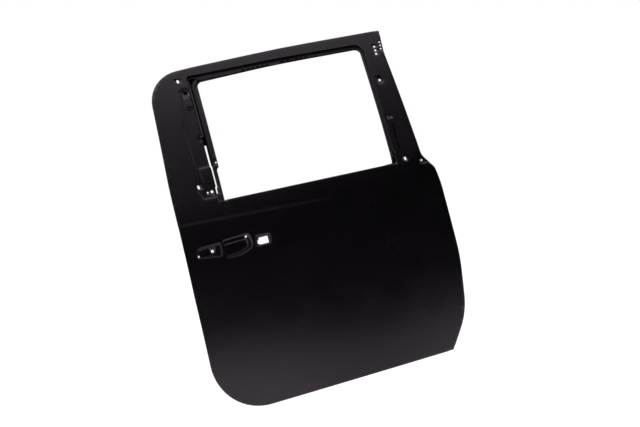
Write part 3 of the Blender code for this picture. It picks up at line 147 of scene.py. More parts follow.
def rounded(corners):
    """Outline of a straight-sided figure whose corners are rounded."""
    outline = []
    for index, (x, z, radius) in enumerate(corners):
        here = Vector((x, z))
        back = (Vector(corners[index - 1][:2]) - here).normalized()
        ahead = (Vector(corners[(index + 1) % len(corners)][:2]) - here).normalized()
        turn = math.pi - back.angle(ahead)
        if radius < SHARP_RADIUS or turn < STRAIGHT_TURN:
            outline.append((x, z))
            continue
        tangent = radius * math.tan(turn / 2.0)
        centre = here + (back + ahead).normalized() * (radius / math.cos(turn / 2.0))
        start, end = here + back * tangent - centre, here + ahead * tangent - centre
        steps = max(1, math.ceil(turn / ARC_STEP), math.ceil(turn * min(radius, FINE_RADIUS) / ARC_CHORD))
        outline += [tuple(centre + start.slerp(end, step / steps) * radius) for step in range(steps + 1)]
    return outline


def anticlockwise(corners):
    """The same corners, in the order that keeps their inside on the left."""
    area = sum(a[0] * b[1] - b[0] * a[1] for a, b in zip(corners, corners[1:] + corners[:1]))
    return list(corners) if area > 0.0 else list(reversed(corners))


def inset(corners, distance):
    """The same figure with every side moved inward, and its roundings too. Corners run anticlockwise."""
    moved = []
    for index, here in enumerate(corners):
        before, after = corners[index - 1], corners[(index + 1) % len(corners)]
        first = Vector((here[0] - before[0], here[1] - before[1])).normalized()
        second = Vector((after[0] - here[0], after[1] - here[1])).normalized()
        inward = Vector((-first.y, first.x)) + Vector((-second.y, second.x))
        shift = inward * (distance / (1.0 + first.dot(second)))
        bulges = first.x * second.y - first.y * second.x > 0.0
        radius = here[2] - distance if bulges else here[2] + distance
        moved.append((here[0] + shift.x, here[1] + shift.y, max(radius, 0.0)))
    return moved


def box(x, z, width, height, radius=0.0, turn=0.0):
    """Corners of a rectangle about its middle, turned by some degrees."""
    cos, sin = math.cos(math.radians(turn)), math.sin(math.radians(turn))
    across, upward = width / 2, height / 2
    ends = ((-across, -upward), (across, -upward), (across, upward), (-across, upward))
    return [(x + u * cos - v * sin, z + u * sin + v * cos, radius) for u, v in ends]


def disc(x, z, radius, sides=24):
    """Outline of a round hole."""
    return [(x + radius * math.cos(math.tau * k / sides), z + radius * math.sin(math.tau * k / sides))
            for k in range(sides)]


def segment_distance(points, starts, ends):
    """Distance from each point to the nearest of some straight stretches."""
    along = ends - starts
    length = np.maximum((along * along).sum(axis=1), TINY)
    nearest = []
    for low in range(0, len(points), POINTS_AT_ONCE):
        offset = points[low:low + POINTS_AT_ONCE, None, :] - starts[None, :, :]
        share = np.clip((offset * along).sum(axis=2) / length, 0.0, 1.0)
        nearest.append(np.sqrt(((offset - share[..., None] * along) ** 2).sum(axis=2)).min(axis=1))
    return np.concatenate(nearest)


def loop_distance(points, loop):
    """Distance from each point to a closed outline."""
    loop = np.asarray(loop)
    return segment_distance(points, loop, np.roll(loop, -1, axis=0))


def inside(points, loop):
    """Whether each point lies inside a closed outline, which a line from it then crosses an odd number of
    times."""
    loop = np.asarray(loop)
    ends = np.roll(loop, -1, axis=0)
    rise = ends[:, 1] - loop[:, 1]
    rise = np.where(np.abs(rise) < TINY, TINY, rise)
    found = []
    for low in range(0, len(points), POINTS_AT_ONCE):
        x, z = points[low:low + POINTS_AT_ONCE, 0, None], points[low:low + POINTS_AT_ONCE, 1, None]
        crosses = (loop[:, 1] > z) != (ends[:, 1] > z)
        met_at = (ends[:, 0] - loop[:, 0]) * (z - loop[:, 1]) / rise + loop[:, 0]
        found.append((crosses & (x < met_at)).sum(axis=1) % 2 == 1)
    return np.concatenate(found)


class Pressed:
    """A place pressed in, or out if its depth is negative, with rolled edges from its rim to its floor."""

    def __init__(self, corners, wall, depth, floor=None, rings=5):
        corners = anticlockwise(list(corners))
        floor = anticlockwise(list(floor)) if floor else inset(corners, wall)
        self.rim, self.floor, self.depth = rounded(corners), rounded(floor), depth
        self.creases = []
        for ring in range(rings + 1):
            share = ring / rings
            between = [tuple(a + share * (b - a) for a, b in zip(*ends)) for ends in zip(corners, floor)]
            self.creases.append(rounded(between))

    def share(self, points):
        """Share of the full depth at each point."""
        to_rim, to_floor = loop_distance(points, self.rim), loop_distance(points, self.floor)
        slope = smooth(to_rim / np.maximum(to_rim + to_floor, TINY))
        return np.where(inside(points, self.floor), 1.0, np.where(inside(points, self.rim), slope, 0.0))

    def press(self, points):
        """Depth that the press adds at each point."""
        return self.depth * self.share(points)


def divided(loop, longest):
    """The outline with no side longer than a length."""
    fine = []
    for (x0, z0), (x1, z1) in zip(loop, loop[1:] + loop[:1]):
        parts = max(1, math.ceil(math.hypot(x1 - x0, z1 - z0) / longest))
        fine += [(x0 + k * (x1 - x0) / parts, z0 + k * (z1 - z0) / parts) for k in range(parts)]
    return fine


def blank(outline, holes, creases, row_step, column_step):
    """Flat blank cut to its outline and holes and divided along its creases: points and triangles."""
    boundary = [divided(outline, column_step)] + [divided(hole, column_step) for hole in holes]
    loops = boundary + [divided(crease, row_step) for crease in creases]
    points, edges = [], []
    for loop in loops:
        first = len(points)
        points += loop
        edges += [(first + k, first + (k + 1) % len(loop)) for k in range(len(loop))]
    low, high = np.min(boundary[0], axis=0), np.max(boundary[0], axis=0)
    rows = np.arange(math.floor(low[1] / row_step), math.ceil(high[1] / row_step)) * row_step
    columns = np.arange(math.floor(low[0] / column_step), math.ceil(high[0] / column_step)) * column_step
    grid = np.array([(x, z) for z in rows for x in columns])
    clear = inside(grid, boundary[0])
    for loop in loops:
        lowest, highest = np.min(loop, axis=0) - GRID_CLEARANCE, np.max(loop, axis=0) + GRID_CLEARANCE
        near = clear & (grid > lowest).all(axis=1) & (grid < highest).all(axis=1)
        if near.any():
            clear[near] = loop_distance(grid[near], loop) > GRID_CLEARANCE
    points += [tuple(point) for point in grid[clear]]
    flat, _, triangles, *_ = delaunay_2d_cdt([Vector(p) for p in points], edges, [], 0, WELD)
    flat = np.array([tuple(p) for p in flat])
    corners = flat[np.array(triangles)]
    one, other = corners[:, 1] - corners[:, 0], corners[:, 2] - corners[:, 0]
    length = np.maximum(np.linalg.norm(one, axis=1), np.linalg.norm(other, axis=1))
    width = np.abs(one[:, 0] * other[:, 1] - one[:, 1] * other[:, 0]) / length
    middles = corners.mean(axis=1)
    kept = inside(middles, boundary[0]) & (width > THINNEST)
    for hole in boundary[1:]:
        kept &= ~inside(middles, hole)
    return flat, [triangle for triangle, keep in zip(triangles, kept) if keep]


def open_edges(bm, loop, keep):
    """Free edges that lie along an outline and that the keep function takes at both ends."""
    free = [edge for edge in bm.edges if edge.is_boundary]
    ends = np.array([[(vert.co.x, vert.co.z) for vert in edge.verts] for edge in free])
    apart = np.maximum(loop_distance(ends[:, 0], loop), loop_distance(ends[:, 1], loop))
    return [edge for edge, away, pair in zip(free, apart, ends)
            if away < ON_LINE and all(keep(x, z) for x, z in pair)]


def fold(bm, edges, profile, surface):
    """Bends a strip on from free edges; each step gives its reach past the edge and its depth."""
    directed = [(loop.vert, loop.link_loop_next.vert) for loop in (edge.link_loops[0] for edge in edges)]
    outward = {}
    for start, end in directed:
        along = Vector((end.co.x - start.co.x, end.co.z - start.co.z)).normalized()
        for vert in (start, end):
            outward.setdefault(vert, []).append(Vector((along.y, -along.x)))
    mitre = {vert: sum(sides, Vector((0.0, 0.0))) / (1.0 + sides[0].dot(sides[-1]) if len(sides) > 1 else 1.0)
             for vert, sides in outward.items()}
    row = {vert: vert for vert in mitre}
    for reach, depth in profile:
        moved = {}
        for vert, side in mitre.items():
            x, z = vert.co.x + side.x * reach, vert.co.z + side.y * reach
            moved[vert] = bm.verts.new((x, float(surface(x, z)) + depth, z))
        for start, end in directed:
            bm.faces.new((row[end], row[start], moved[start], moved[end]))
        row = moved


def pressing(name, outline, holes, creases, lift, gauge, folds=(), steps=(ROW_STEP, COLUMN_STEP)):
    """One stamped sheet: its blank is lifted to shape, its flanges are folded, and it gets its gauge."""
    flat, triangles = blank(outline, holes, creases, *steps)
    depths = lift(flat)
    bm = bmesh.new()
    verts = [bm.verts.new((x, y, z)) for (x, z), y in zip(flat, depths)]
    for triangle in triangles:
        corners = [flat[k] for k in triangle]
        area = ((corners[1][0] - corners[0][0]) * (corners[2][1] - corners[0][1])
                - (corners[1][1] - corners[0][1]) * (corners[2][0] - corners[0][0]))
        bm.faces.new([verts[k] for k in (triangle if area > 0.0 else list(reversed(triangle)))])
    bmesh.ops.delete(bm, geom=[vert for vert in bm.verts if not vert.link_faces], context="VERTS")
    for loop, keep, profile, surface in folds:
        fold(bm, open_edges(bm, loop, keep), profile, surface)
    mesh = bpy.data.meshes.new(name)
    bm.normal_update()
    bm.to_mesh(mesh)
    bm.free()
    mesh.transform(Matrix.Translation(HANG))
    mesh.shade_smooth()
    mesh.set_sharp_from_angle(angle=SHARP_EDGE)
    piece = bpy.data.objects.new(name, mesh)
    bpy.context.collection.objects.link(piece)
    solid = piece.modifiers.new("gauge", "SOLIDIFY")
    solid.thickness = gauge
    solid.offset = -1.0
    solid.use_even_offset = True
    solid.use_quality_normals = True
    return piece


def noise(paint, place, size):
    """Noise of some scale and detail, fixed to the piece."""
    made = paint.node_tree.nodes.new("ShaderNodeTexNoise")
    made.inputs["Scale"].default_value, made.inputs["Detail"].default_value = size
    paint.node_tree.links.new(place.outputs["Object"], made.inputs["Vector"])
    return made


def cloudy(name, colour, shades, roughness, spread, cloud):
    """Finish whose shade and dullness drift over the piece, and the nodes that a relief is hung on."""
    paint = bpy.data.materials.new(name)
    paint.use_nodes = True
    nodes, links = paint.node_tree.nodes, paint.node_tree.links
    shader, place = nodes["Principled BSDF"], nodes.new("ShaderNodeTexCoord")
    drift = noise(paint, place, cloud)
    tint = nodes.new("ShaderNodeMix")
    tint.data_type = "RGBA"
    for end, shade in zip("AB", shades):
        tint.inputs[end].default_value = (*[shade * c for c in colour], 1.0)
    dull = nodes.new("ShaderNodeMapRange")
    for end, shift in zip(("To Min", "To Max"), spread):
        dull.inputs[end].default_value = roughness + shift
    links.new(drift.outputs["Fac"], tint.inputs["Factor"])
    links.new(tint.outputs["Result"], shader.inputs["Base Color"])
    links.new(drift.outputs["Fac"], dull.inputs["Value"])
    links.new(dull.outputs["Result"], shader.inputs["Roughness"])
    return paint, shader, place, drift


def relief(paint, shader, source, strength, height):
    """Raises the finish by what a noise gives."""
    bump = paint.node_tree.nodes.new("ShaderNodeBump")
    bump.inputs["Strength"].default_value, bump.inputs["Distance"].default_value = strength, height
    paint.node_tree.links.new(source.outputs["Fac"], bump.inputs["Height"])
    paint.node_tree.links.new(bump.outputs["Normal"], shader.inputs["Normal"])


def dip_primer(name, colour, roughness, grain):
    """Baked black dip primer over bare sheet: satin, faintly uneven, with the steel's fine grain under it."""
    paint, shader, place, _ = cloudy(name, colour, PRIMER_SHADES, roughness, PRIMER_SPREAD, PRIMER_CLOUD)
    shader.inputs["Specular Tint"].default_value = PRIMER_TINT
    relief(paint, shader, noise(paint, place, PRIMER_PEEL), grain, PEEL_HEIGHT)
    return paint


skin_presses = [Pressed(TRIM_SEAT, TRIM_SEAT_WALL, TRIM_SEAT_DEPTH)]
skin_presses += [Pressed(box(*boss), CLIP_BOSS_WALL, -CLIP_BOSS_RISE) for boss in CLIP_BOSSES]
skin_presses += [
    Pressed(CAP_POCKET, CAP_POCKET_WALL, CAP_POCKET_DEPTH),
    Pressed(CUP_RIM, 0.0, CUP_DEPTH, CUP_FLOOR, rings=9),
    Pressed(PIVOT_SEAT, PIVOT_SEAT_WALL, PIVOT_SEAT_DEPTH),
    Pressed(PILLAR_GROOVE, PILLAR_GROOVE_WALL, PILLAR_GROOVE_DEPTH),
    Pressed(box(*PILLAR_DISH), PILLAR_DISH_WALL, PILLAR_DISH_DEPTH)]
skin_holes = [rounded(list(PIVOT_HOLE)), rounded(box(*PILLAR_DISH_HOLE)), rounded(box(*SHOULDER_SLIT))]
skin_holes += [disc(*hole) for hole in SCREW_HOLES + ROUND_HOLES]
skin_holes += [rounded(box(x, z, width, height, min(width, height) * FULL_ROUND, turn))
               for x, z, width, height, turn in OBLONG_HOLES]


def rolled(reach, depth, steps=6):
    """Half-round bend of a hem, from the fold line round to its returned leg."""
    return [(reach * math.sin(math.pi * k / steps), depth * (1.0 - math.cos(math.pi * k / steps)) / 2.0)
            for k in range(1, steps + 1)]


fold_line = rounded(inset(list(DOOR_CORNERS), HEM_CREST))
skin_window = rounded(list(SKIN_WINDOW_CORNERS))
hem = rolled(HEM_CREST * HEM_ROLL, HEM_DEPTH) + [(-HEM_REACH, HEM_DEPTH)]
window_return = [
    (0.0004, 0.0006), (0.0012, 0.0020), (0.0015, WINDOW_RETURN - 0.002), (0.0022, WINDOW_RETURN - 0.0006),
    (0.0036, WINDOW_RETURN), (0.0015 + WINDOW_FOOT, WINDOW_RETURN)]
slot_lip = [(0.001, 0.006)]
belt_hem = rolled(BELT_HEM_CREST, BELT_HEM_DEPTH, 4) + [(-HEM_REACH, BELT_HEM_DEPTH)]


def hemmed(x, z):
    """The door's edge, apart from the notches where the hem would crease."""
    return all(math.hypot(x - notch_x, z - notch_z) > gap for notch_x, notch_z, gap in HEM_NOTCHES)


def window_returned(x, z):
    """The window's edge above the belt, apart from the stretch with the slot."""
    return z > 0.0 and not (x < REAR_SLOT_X and z < REAR_SLOT_TOP)


def beside_slot(x, z):
    """The window's edge in front of the rear pillar's slot, where the sheet only turns in a little."""
    return x < REAR_SLOT_X and REAR_SLOT_FOOT < z < REAR_SLOT_TOP


def at_belt(x, z):
    """The window's lower edge, along the belt."""
    return z < BELT_HEM_LEVEL and BELT_HEM_ENDS[0] < x < BELT_HEM_ENDS[1]


skin_folds = (
    (fold_line, hemmed, hem, skin_y), (skin_window, window_returned, window_return, skin_y),
    (skin_window, beside_slot, slot_lip, skin_y), (skin_window, at_belt, belt_hem, skin_y))


def lift_skin(points):
    """Height of the skin's outer face over its blank."""
    return skin_y(points[:, 0], points[:, 1]) + sum(place.press(points) for place in skin_presses)


def along_feature_line(half):
    """Narrow loop round the feature line, so that the sheet bends along its ledge."""
    (rear_x, rear_z), (front_x, front_z) = FEATURE_LINE
    slope = (front_z - rear_z) / (front_x - rear_x)
    sides = [(x, rear_z + slope * (x - rear_x) - half) for x in FEATURE_LINE_ENDS]
    return sides + [(x, rear_z + slope * (x - rear_x) + half) for x in reversed(FEATURE_LINE_ENDS)]


skin_creases = [crease for place in skin_presses for crease in place.creases]
skin_creases += [along_feature_line(share * FEATURE_LINE_WIDTH) for share in (0.5, 0.3, 0.1)]
skin_paint = dip_primer("skin_primer", (0.0010, 0.0006, 0.0010), 0.26, 0.06)
skin = pressing(
    "door_skin", fold_line, [skin_window] + skin_holes, skin_creases, lift_skin, SKIN_GAUGE, skin_folds)
skin.data.materials.append(skin_paint)
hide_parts("outer_panel")
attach(skin, "root")

# Inner panel
# The pan, deep-drawn from 1 mm sheet, with shut walls for hinges and latch, window flange and service holes.
# It is spot-welded to its reinforcements and hemmed into the skin, and the whole is dipped black.

PAN_LEVEL, PAN_WALL, PAN_EDGE_ROOM, PAN_STEPS = 0.072, 0.006, 0.0008, (0.012, 0.020)
PAN_CORNERS = (
    (0.388, -0.753, 0.040), (0.462, -0.606, 0.085), (0.462, -0.084, 0.030), (0.440, -0.034, 0.050),
    (0.446, 0.385, 0.150), (0.460, 0.479, 0.014), (0.030, 0.488, 5.000), (-0.464, 0.4725, 0.122),
    (-0.510, 0.010, 1.500), (-0.520, -0.130, 0.400), (-0.520, -0.754, 0.160))
INNER_WINDOW_CORNERS = (
    (-0.338, -0.028, 0.006), (-0.3302, 0.094, 0.003), (-0.3205, 0.104, 0.003), (-0.3127, 0.220, 0.500),
    (-0.2985, 0.4325, 0.022), (0.020, 0.4413, 5.000), (0.3725, 0.436, 0.022), (0.350, 0.120, 0.500),
    (0.3345, -0.032, 0.008), (0.298, -0.0319, 0.0), (-0.303, -0.0283, 0.0))
FRAME_DEPTH, FRAME_FLANGE_REACH, FRAME_WALL = 0.030, 0.020, 0.009
FRAME_FLANGE_DEPTH = WINDOW_RETURN + SKIN_GAUGE * 1.08 + 1.5 * FIT
FRAME_BOX_FOOT, FRAME_BOX_RISE, FRAME_FLANGE_FOOT, FRAME_FLANGE_RISE = -0.020, 0.090, -0.070, 0.038
SILL_LEVEL, SILL_ENDS = -0.028, (-0.326, 0.3225)
SERVICE_HOLES = (
    ((-0.470, -0.290, 0.022), (-0.175, -0.300, 0.028), (-0.160, -0.140, 0.030), (-0.470, -0.140, 0.022)),
    ((-0.085, -0.430, 0.035), (0.240, -0.430, 0.035), (0.290, -0.165, 0.035), (-0.085, -0.165, 0.035)),
    ((-0.430, -0.610, 0.040), (-0.060, -0.620, 0.040), (-0.120, -0.385, 0.035), (-0.440, -0.385, 0.035)))
HOLE_RIM, HOLE_RIM_WALL, HOLE_RIM_RISE = 0.022, 0.005, 0.005
SPEAKER_X, SPEAKER_Z, SPEAKER_RADIUS, SPEAKER_RING = 0.205, -0.590, 0.0825, 0.022
SPEAKER_RING_WALL, SPEAKER_RING_RISE = 0.006, 0.008
TRIM_CLIP_HOLES = (
    (-0.490, -0.345), (-0.490, -0.520), (-0.420, -0.680), (-0.200, -0.715), (0.020, -0.715), (0.360, -0.640),
    (0.415, -0.450), (0.415, -0.250), (0.020, -0.480), (-0.240, -0.345))
REGULATOR_NUTS = (
    (-0.1225, -0.190), (-0.1225, -0.342), (0.320, -0.230), (0.290, -0.395), (-0.010, -0.130), (0.160, -0.470))
CLIP_HOLE_RADIUS, NUT_HOLE_RADIUS, SIGHT_HOLE_CORNER = 0.0040, 0.0038, 0.006
SIGHT_HOLES = (
    (-0.356, 0.452, 0.024, 0.030), (-0.409, 0.050, 0.030, 0.036), (-0.370, 0.022, 0.034, 0.028),
    (0.412, 0.296, 0.018, 0.020), (0.411, -0.025, 0.022, 0.026))
PILLAR_TOP_HOLE = ((0.420, 0.392, 0.008), (0.450, 0.392, 0.006), (0.453, 0.452, 0.006), (0.424, 0.452, 0.008))
SLOT = ((-0.35375, 0.030), (-0.34875, 0.116), (-0.34375, 0.192), (-0.33925, 0.192), (-0.34425, 0.116),
        (-0.34925, 0.030))
TAB_HOLE, SHOULDER_HOLE = (-0.3255, 0.122, 0.0030), (0.4495, -0.045, 0.0045)
HEM_HOLES_FROM_X = 0.450
HINGE_WALL_X, HINGE_FACE_Y, HINGE_HEIGHTS, HINGE_BOLTS = 0.462, 0.034, (-0.180, -0.505), (0.050, 0.0055)
CHECK_HEIGHT, CHECK_BOLTS, CHECK_SLOT = -0.345, (0.052, 0.0035), (0.016, 0.034)
HARNESS_HEIGHT, HARNESS_SHIFT, HARNESS_RADIUS = -0.265, 0.004, 0.014
LATCH_WALL_X, LATCH_HEIGHT, LATCH_FACE_Y, LATCH_MOUTH = -0.520, -0.235, 0.036, (0.030, 0.052)
LATCH_SCREWS, LATCH_SCREW_RADIUS = ((0.036, -0.193), (0.018, -0.277), (0.054, -0.277)), 0.0035
PUNCH_LENGTH = 0.030

pan = Pressed(PAN_CORNERS, PAN_WALL, 1.0, rings=4)
inner_window = rounded(list(INNER_WINDOW_CORNERS))
frame_edge = [(x, z) for x, z in inner_window if z > SILL_LEVEL or not SILL_ENDS[0] < x < SILL_ENDS[1]]
gap_at = max(range(len(frame_edge)), key=lambda k: math.dist(frame_edge[k], frame_edge[k - 1]))
frame_edge = np.array(frame_edge[gap_at:] + frame_edge[:gap_at])
pan_presses = [Pressed(inset(anticlockwise(list(corners)), -HOLE_RIM), HOLE_RIM_WALL, -HOLE_RIM_RISE)
               for corners in SERVICE_HOLES]
ring_radius = SPEAKER_RADIUS + SPEAKER_RING
ring = box(SPEAKER_X, SPEAKER_Z, 2 * ring_radius, 2 * ring_radius, ring_radius - ON_LINE)
pan_presses.append(Pressed(ring, SPEAKER_RING_WALL, -SPEAKER_RING_RISE))


def lift_pan(points):
    """Depth of the inner panel: hem flange, shut wall, pan, and the window frame with its flange."""
    x, z = points[:, 0], points[:, 1]
    outside = skin_y(x, z)
    frame_share = smooth((z - FRAME_BOX_FOOT) / FRAME_BOX_RISE)
    box_level = PAN_LEVEL + frame_share * (outside + FRAME_DEPTH - PAN_LEVEL)
    off_edge = segment_distance(points, frame_edge[:-1], frame_edge[1:])
    near = smooth((FRAME_FLANGE_REACH + FRAME_WALL - off_edge) / FRAME_WALL)
    near *= smooth((z - FRAME_FLANGE_FOOT) / FRAME_FLANGE_RISE)
    pressed = box_level + near * (outside + FRAME_FLANGE_DEPTH - box_level)
    flange = outside + HEM_FLANGE_DEPTH
    return flange + pan.share(points) * (pressed - flange) + sum(place.press(points) for place in pan_presses)


pan_holes = [inner_window, list(SLOT), disc(*TAB_HOLE), disc(SPEAKER_X, SPEAKER_Z, SPEAKER_RADIUS, 72)]
pan_holes.append(rounded(list(PILLAR_TOP_HOLE)))
pan_holes += [disc(*hole) for hole in SCREW_HOLES if hole[0] > HEM_HOLES_FROM_X] + [disc(*SHOULDER_HOLE)]
pan_holes += [rounded(anticlockwise(list(corners))) for corners in SERVICE_HOLES]
pan_holes += [disc(x, z, CLIP_HOLE_RADIUS, 16) for x, z in TRIM_CLIP_HOLES]
pan_holes += [disc(x, z, NUT_HOLE_RADIUS, 16) for x, z in REGULATOR_NUTS]
pan_holes += [rounded(box(x, z, width, height, SIGHT_HOLE_CORNER)) for x, z, width, height in SIGHT_HOLES]
pan_creases = pan.creases + [
    rounded(inset(anticlockwise(list(INNER_WINDOW_CORNERS)), -FRAME_FLANGE_REACH - share * FRAME_WALL))
    for share in (0.0, 0.5, 1.0)]
pan_creases += [crease for place in pan_presses for crease in place.creases]
inner_paint = dip_primer("inner_primer", (0.0016, 0.0012, 0.0016), 0.34, 0.10)
pan_outline = rounded(inset(list(DOOR_CORNERS), HEM_CREST + PAN_EDGE_ROOM))
inner = pressing("door_pan", pan_outline, pan_holes, pan_creases, lift_pan, INNER_GAUGE, steps=PAN_STEPS)
inner.data.materials.append(inner_paint)


def wall_cutter(name):
    """Punches for the holes in the shut walls: hinge and check link bolts, check link, harness, latch."""
    bm = bmesh.new()
    across = Matrix.Rotation(math.pi / 2, 4, "Y")
    rounds = [(HINGE_WALL_X, HINGE_FACE_Y, height + side * spacing / 2, radius)
              for heights, (spacing, radius) in ((HINGE_HEIGHTS, HINGE_BOLTS), ((CHECK_HEIGHT,), CHECK_BOLTS))
              for height in heights for side in (-1, 1)]
    rounds.append((HINGE_WALL_X, HINGE_FACE_Y + HARNESS_SHIFT, HARNESS_HEIGHT, HARNESS_RADIUS))
    rounds += [(LATCH_WALL_X, y, z, LATCH_SCREW_RADIUS) for y, z in LATCH_SCREWS]
    for x, y, z, radius in rounds:
        bmesh.ops.create_cone(
            bm, cap_ends=True, segments=24, radius1=radius, radius2=radius, depth=PUNCH_LENGTH,
            matrix=Matrix.Translation((x, y, z)) @ across)
    for x, y, z, size in ((HINGE_WALL_X, HINGE_FACE_Y, CHECK_HEIGHT, CHECK_SLOT),
                          (LATCH_WALL_X, LATCH_FACE_Y, LATCH_HEIGHT, LATCH_MOUTH)):
        made = bmesh.ops.create_cube(bm, size=1.0)
        grown = Matrix.Translation((x, y, z)) @ Matrix.Diagonal((PUNCH_LENGTH, *size, 1.0))
        bmesh.ops.transform(bm, verts=made["verts"], matrix=grown)
    mesh = bpy.data.meshes.new(name)
    bm.to_mesh(mesh)
    bm.free()
    mesh.transform(Matrix.Translation(HANG))
    made = bpy.data.objects.new(name, mesh)
    bpy.context.collection.objects.link(made)
    return made


cutter = wall_cutter("wall_cutter")
punch = inner.modifiers.new("holes", "BOOLEAN")
punch.operation, punch.solver, punch.object = "DIFFERENCE", "EXACT", cutter
bpy.context.view_layer.update()
punched = bpy.data.meshes.new_from_object(inner.evaluated_get(bpy.context.evaluated_depsgraph_get()))
inner.modifiers.clear()
inner.data = punched
bpy.data.objects.remove(cutter, do_unlink=True)
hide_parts("inner_panel")
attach(inner, "root")

# Belt strips
# Two long strips just below the window: the outer one beaded behind the skin, the inner one boxed on the pan.
# Both are pressed from thin steel and spot-welded along their edges before the dip.


def finish(paint, *names):
    """Gives pieces whose solids stay as they are their own finish."""
    for name in names:
        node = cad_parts[name]
        node.data.materials.clear()
        node.data.materials.append(paint)


strip_paint = dip_primer("strip_primer", (0.0030, 0.0029, 0.0032), 0.38, 0.14)
finish(strip_paint, "outer_belt_reinforcement", "inner_belt_reinforcement")

# Pillar strips and stiffener
# Beaded strips inside the two window pillars, and the thin rail that keeps the skin's middle from drumming.
# All are pressed steel; the strips are spot-welded in the frame, and the rail is welded at its ends only.

rail_paint = dip_primer("rail_primer", (0.0027, 0.0026, 0.0028), 0.36, 0.12)
finish(rail_paint, "front_pillar_reinforcement", "rear_pillar_reinforcement", "panel_stiffener")

# Handle plate
# Plate round the back of the handle's pockets, of thicker steel than the skin, with one long opening for the
# cup and the pivot. It is spot-welded to the skin before hemming.

handle_plate_paint = dip_primer("handle_plate_primer", (0.0029, 0.0028, 0.0030), 0.40, 0.16)
finish(handle_plate_paint, "handle_reinforcement")

# Hinge, check link and latch plates
# Thick plates welded inside the shut walls, where the hinges, the check link and the latch are bolted on.
# They are of hot-rolled steel, whose scale shows through the dip as a coarser, duller face.

plate_paint = dip_primer("plate_primer", (0.0042, 0.0040, 0.0042), 0.46, 0.30)
finish(plate_paint, "upper_hinge_reinforcement", "lower_hinge_reinforcement")
finish(plate_paint, "check_link_reinforcement", "latch_reinforcement")

# Tapping plates and weld nuts
# Threaded zinc-plated blocks: two that float behind the hinge plates, so that the door can be shifted when it
# is hung, and six nuts welded to the pan for the window regulator. The dip leaves them dark and mottled.

ZINC_SHADES, ZINC_SPREAD, ZINC_TARNISH = (0.55, 1.35), (-0.08, 0.10), (160.0, 4.0)
TARNISH_STRENGTH, TARNISH_HEIGHT = 0.25, 0.0001


def zinc_plating(name, colour, roughness):
    """Dark dipped zinc: a metal with mottled tarnish that stands a little proud."""
    plating, shader, _, tarnish = cloudy(name, colour, ZINC_SHADES, roughness, ZINC_SPREAD, ZINC_TARNISH)
    shader.inputs["Metallic"].default_value = 1.0
    relief(plating, shader, tarnish, TARNISH_STRENGTH, TARNISH_HEIGHT)
    return plating


dipped_zinc = zinc_plating("dipped_zinc", (0.060, 0.062, 0.068), 0.42)
finish(dipped_zinc, "upper_hinge_tapping_plate", "lower_hinge_tapping_plate")
finish(dipped_zinc, *[f"weld_nut_{k}" for k in range(1, 7)])

# Side-impact beam
# Round tube of hardened steel across the door, with a pressed foot at each end, spot-welded to the pan. The
# tube is drawn, so the dip lies smoother on it than on the pressed pieces.

beam_paint = dip_primer("beam_primer", (0.0024, 0.0023, 0.0025), 0.30, 0.05)
finish(beam_paint, "intrusion_beam")
finish(plate_paint, "beam_front_bracket", "beam_rear_bracket")

# Glass guides
# Roll-formed steel channels that the door glass runs in below the belt, each on a pressed foot that is
# screwed to the pan.

guide_paint = dip_primer("guide_primer", (0.0026, 0.0025, 0.0027), 0.34, 0.08)
finish(guide_paint, "front_glass_guide", "rear_glass_guide", "front_guide_bracket", "rear_guide_bracket")

# Mastic pads
# Dabs of anti-flutter mastic between the skin and the beam and stiffener. They are laid soft, and rise and
# set in the paint oven, so they are dull, dark and pitted.

mastic = dip_primer("mastic", (0.0190, 0.0180, 0.0170), 0.78, 0.90)
finish(mastic, *[f"beam_pad_{k}" for k in range(1, 5)], *[f"stiffener_pad_{k}" for k in range(1, 6)])

# Floor
# Plain pale studio floor, well below the hung door. It is matt, so that it takes the door's shadow and
# mirrors nothing.

FLOOR_HEIGHT, FLOOR_SIZE = -1.15, 400.0
WHITE = (1.0, 1.0, 1.0, 1.0)

floor_paint = bpy.data.materials.new("floor_white")
floor_paint.use_nodes = True
floor_shader = floor_paint.node_tree.nodes["Principled BSDF"]
floor_shader.inputs["Base Color"].default_value = WHITE
floor_shader.inputs["Roughness"].default_value = 0.9
floor_shader.inputs["Specular IOR Level"].default_value = 0.0
bpy.ops.mesh.primitive_plane_add(size=FLOOR_SIZE, location=(0.0, 0.0, FLOOR_HEIGHT))
floor = bpy.context.object
floor.name = "floor"
floor.data.materials.append(floor_paint)

# Light
# White studio all round and a broad soft lamp overhead. Shaded cards stand before the door and behind it, and
# show only in its reflections: the header and the tuck-under mirror pale edges, and the middle mirrors black.

LAMP_STRENGTH, LAMP_SPREAD, LAMP_TILT = 0.5, math.radians(40), (math.radians(25), math.radians(-8), 0.0)
CARD_RADIUS = 5.5
# Before each card's foot a strip lies on the floor, painted grey and darkening toward the card: a painted
# shadow of the card on the floor, seen only in the door's reflections.
PAINTED_SHADOW_STRIP, CARD_EDGE, CARD_LIFT = 1.9, 0.02, 0.002
CARD_SHADES = (0.80, 0.50, 0.012, 0.012, 0.012, 0.09, 0.12, 0.25, 0.42)
OPEN_SIDE, DOOR_SIDE = (0.5, 1.1, 3.5, 4.9, 7.0), (2.2, 3.3, 4.1, 4.6, 5.1)
# Each upright of a card has its bearing from the door, its foot's distance and the heights of its shades.
FRONT_CARD = (
    (-30.0, 4.9, OPEN_SIDE), (0.0, 4.4, OPEN_SIDE), (11.0, 3.4, (0.7, 1.6, 3.4, 4.6, 6.5)),
    (16.0, 2.7, (1.0, 2.2, 3.3, 4.5, 5.8)), (21.0, 2.3, (1.3, 2.6, 3.6, 4.5, 5.4)), (27.0, 2.5, DOOR_SIDE),
    (45.0, 4.0, DOOR_SIDE), (70.0, 4.9, DOOR_SIDE))
BACK_HEIGHTS = (0.6, 1.2, 1.9, 2.8, 4.4)
BACK_CARD = (
    (120.0, 4.4, BACK_HEIGHTS), (150.0, 3.2, BACK_HEIGHTS), (180.0, 2.9, BACK_HEIGHTS),
    (210.0, 3.2, BACK_HEIGHTS), (240.0, 4.4, BACK_HEIGHTS))

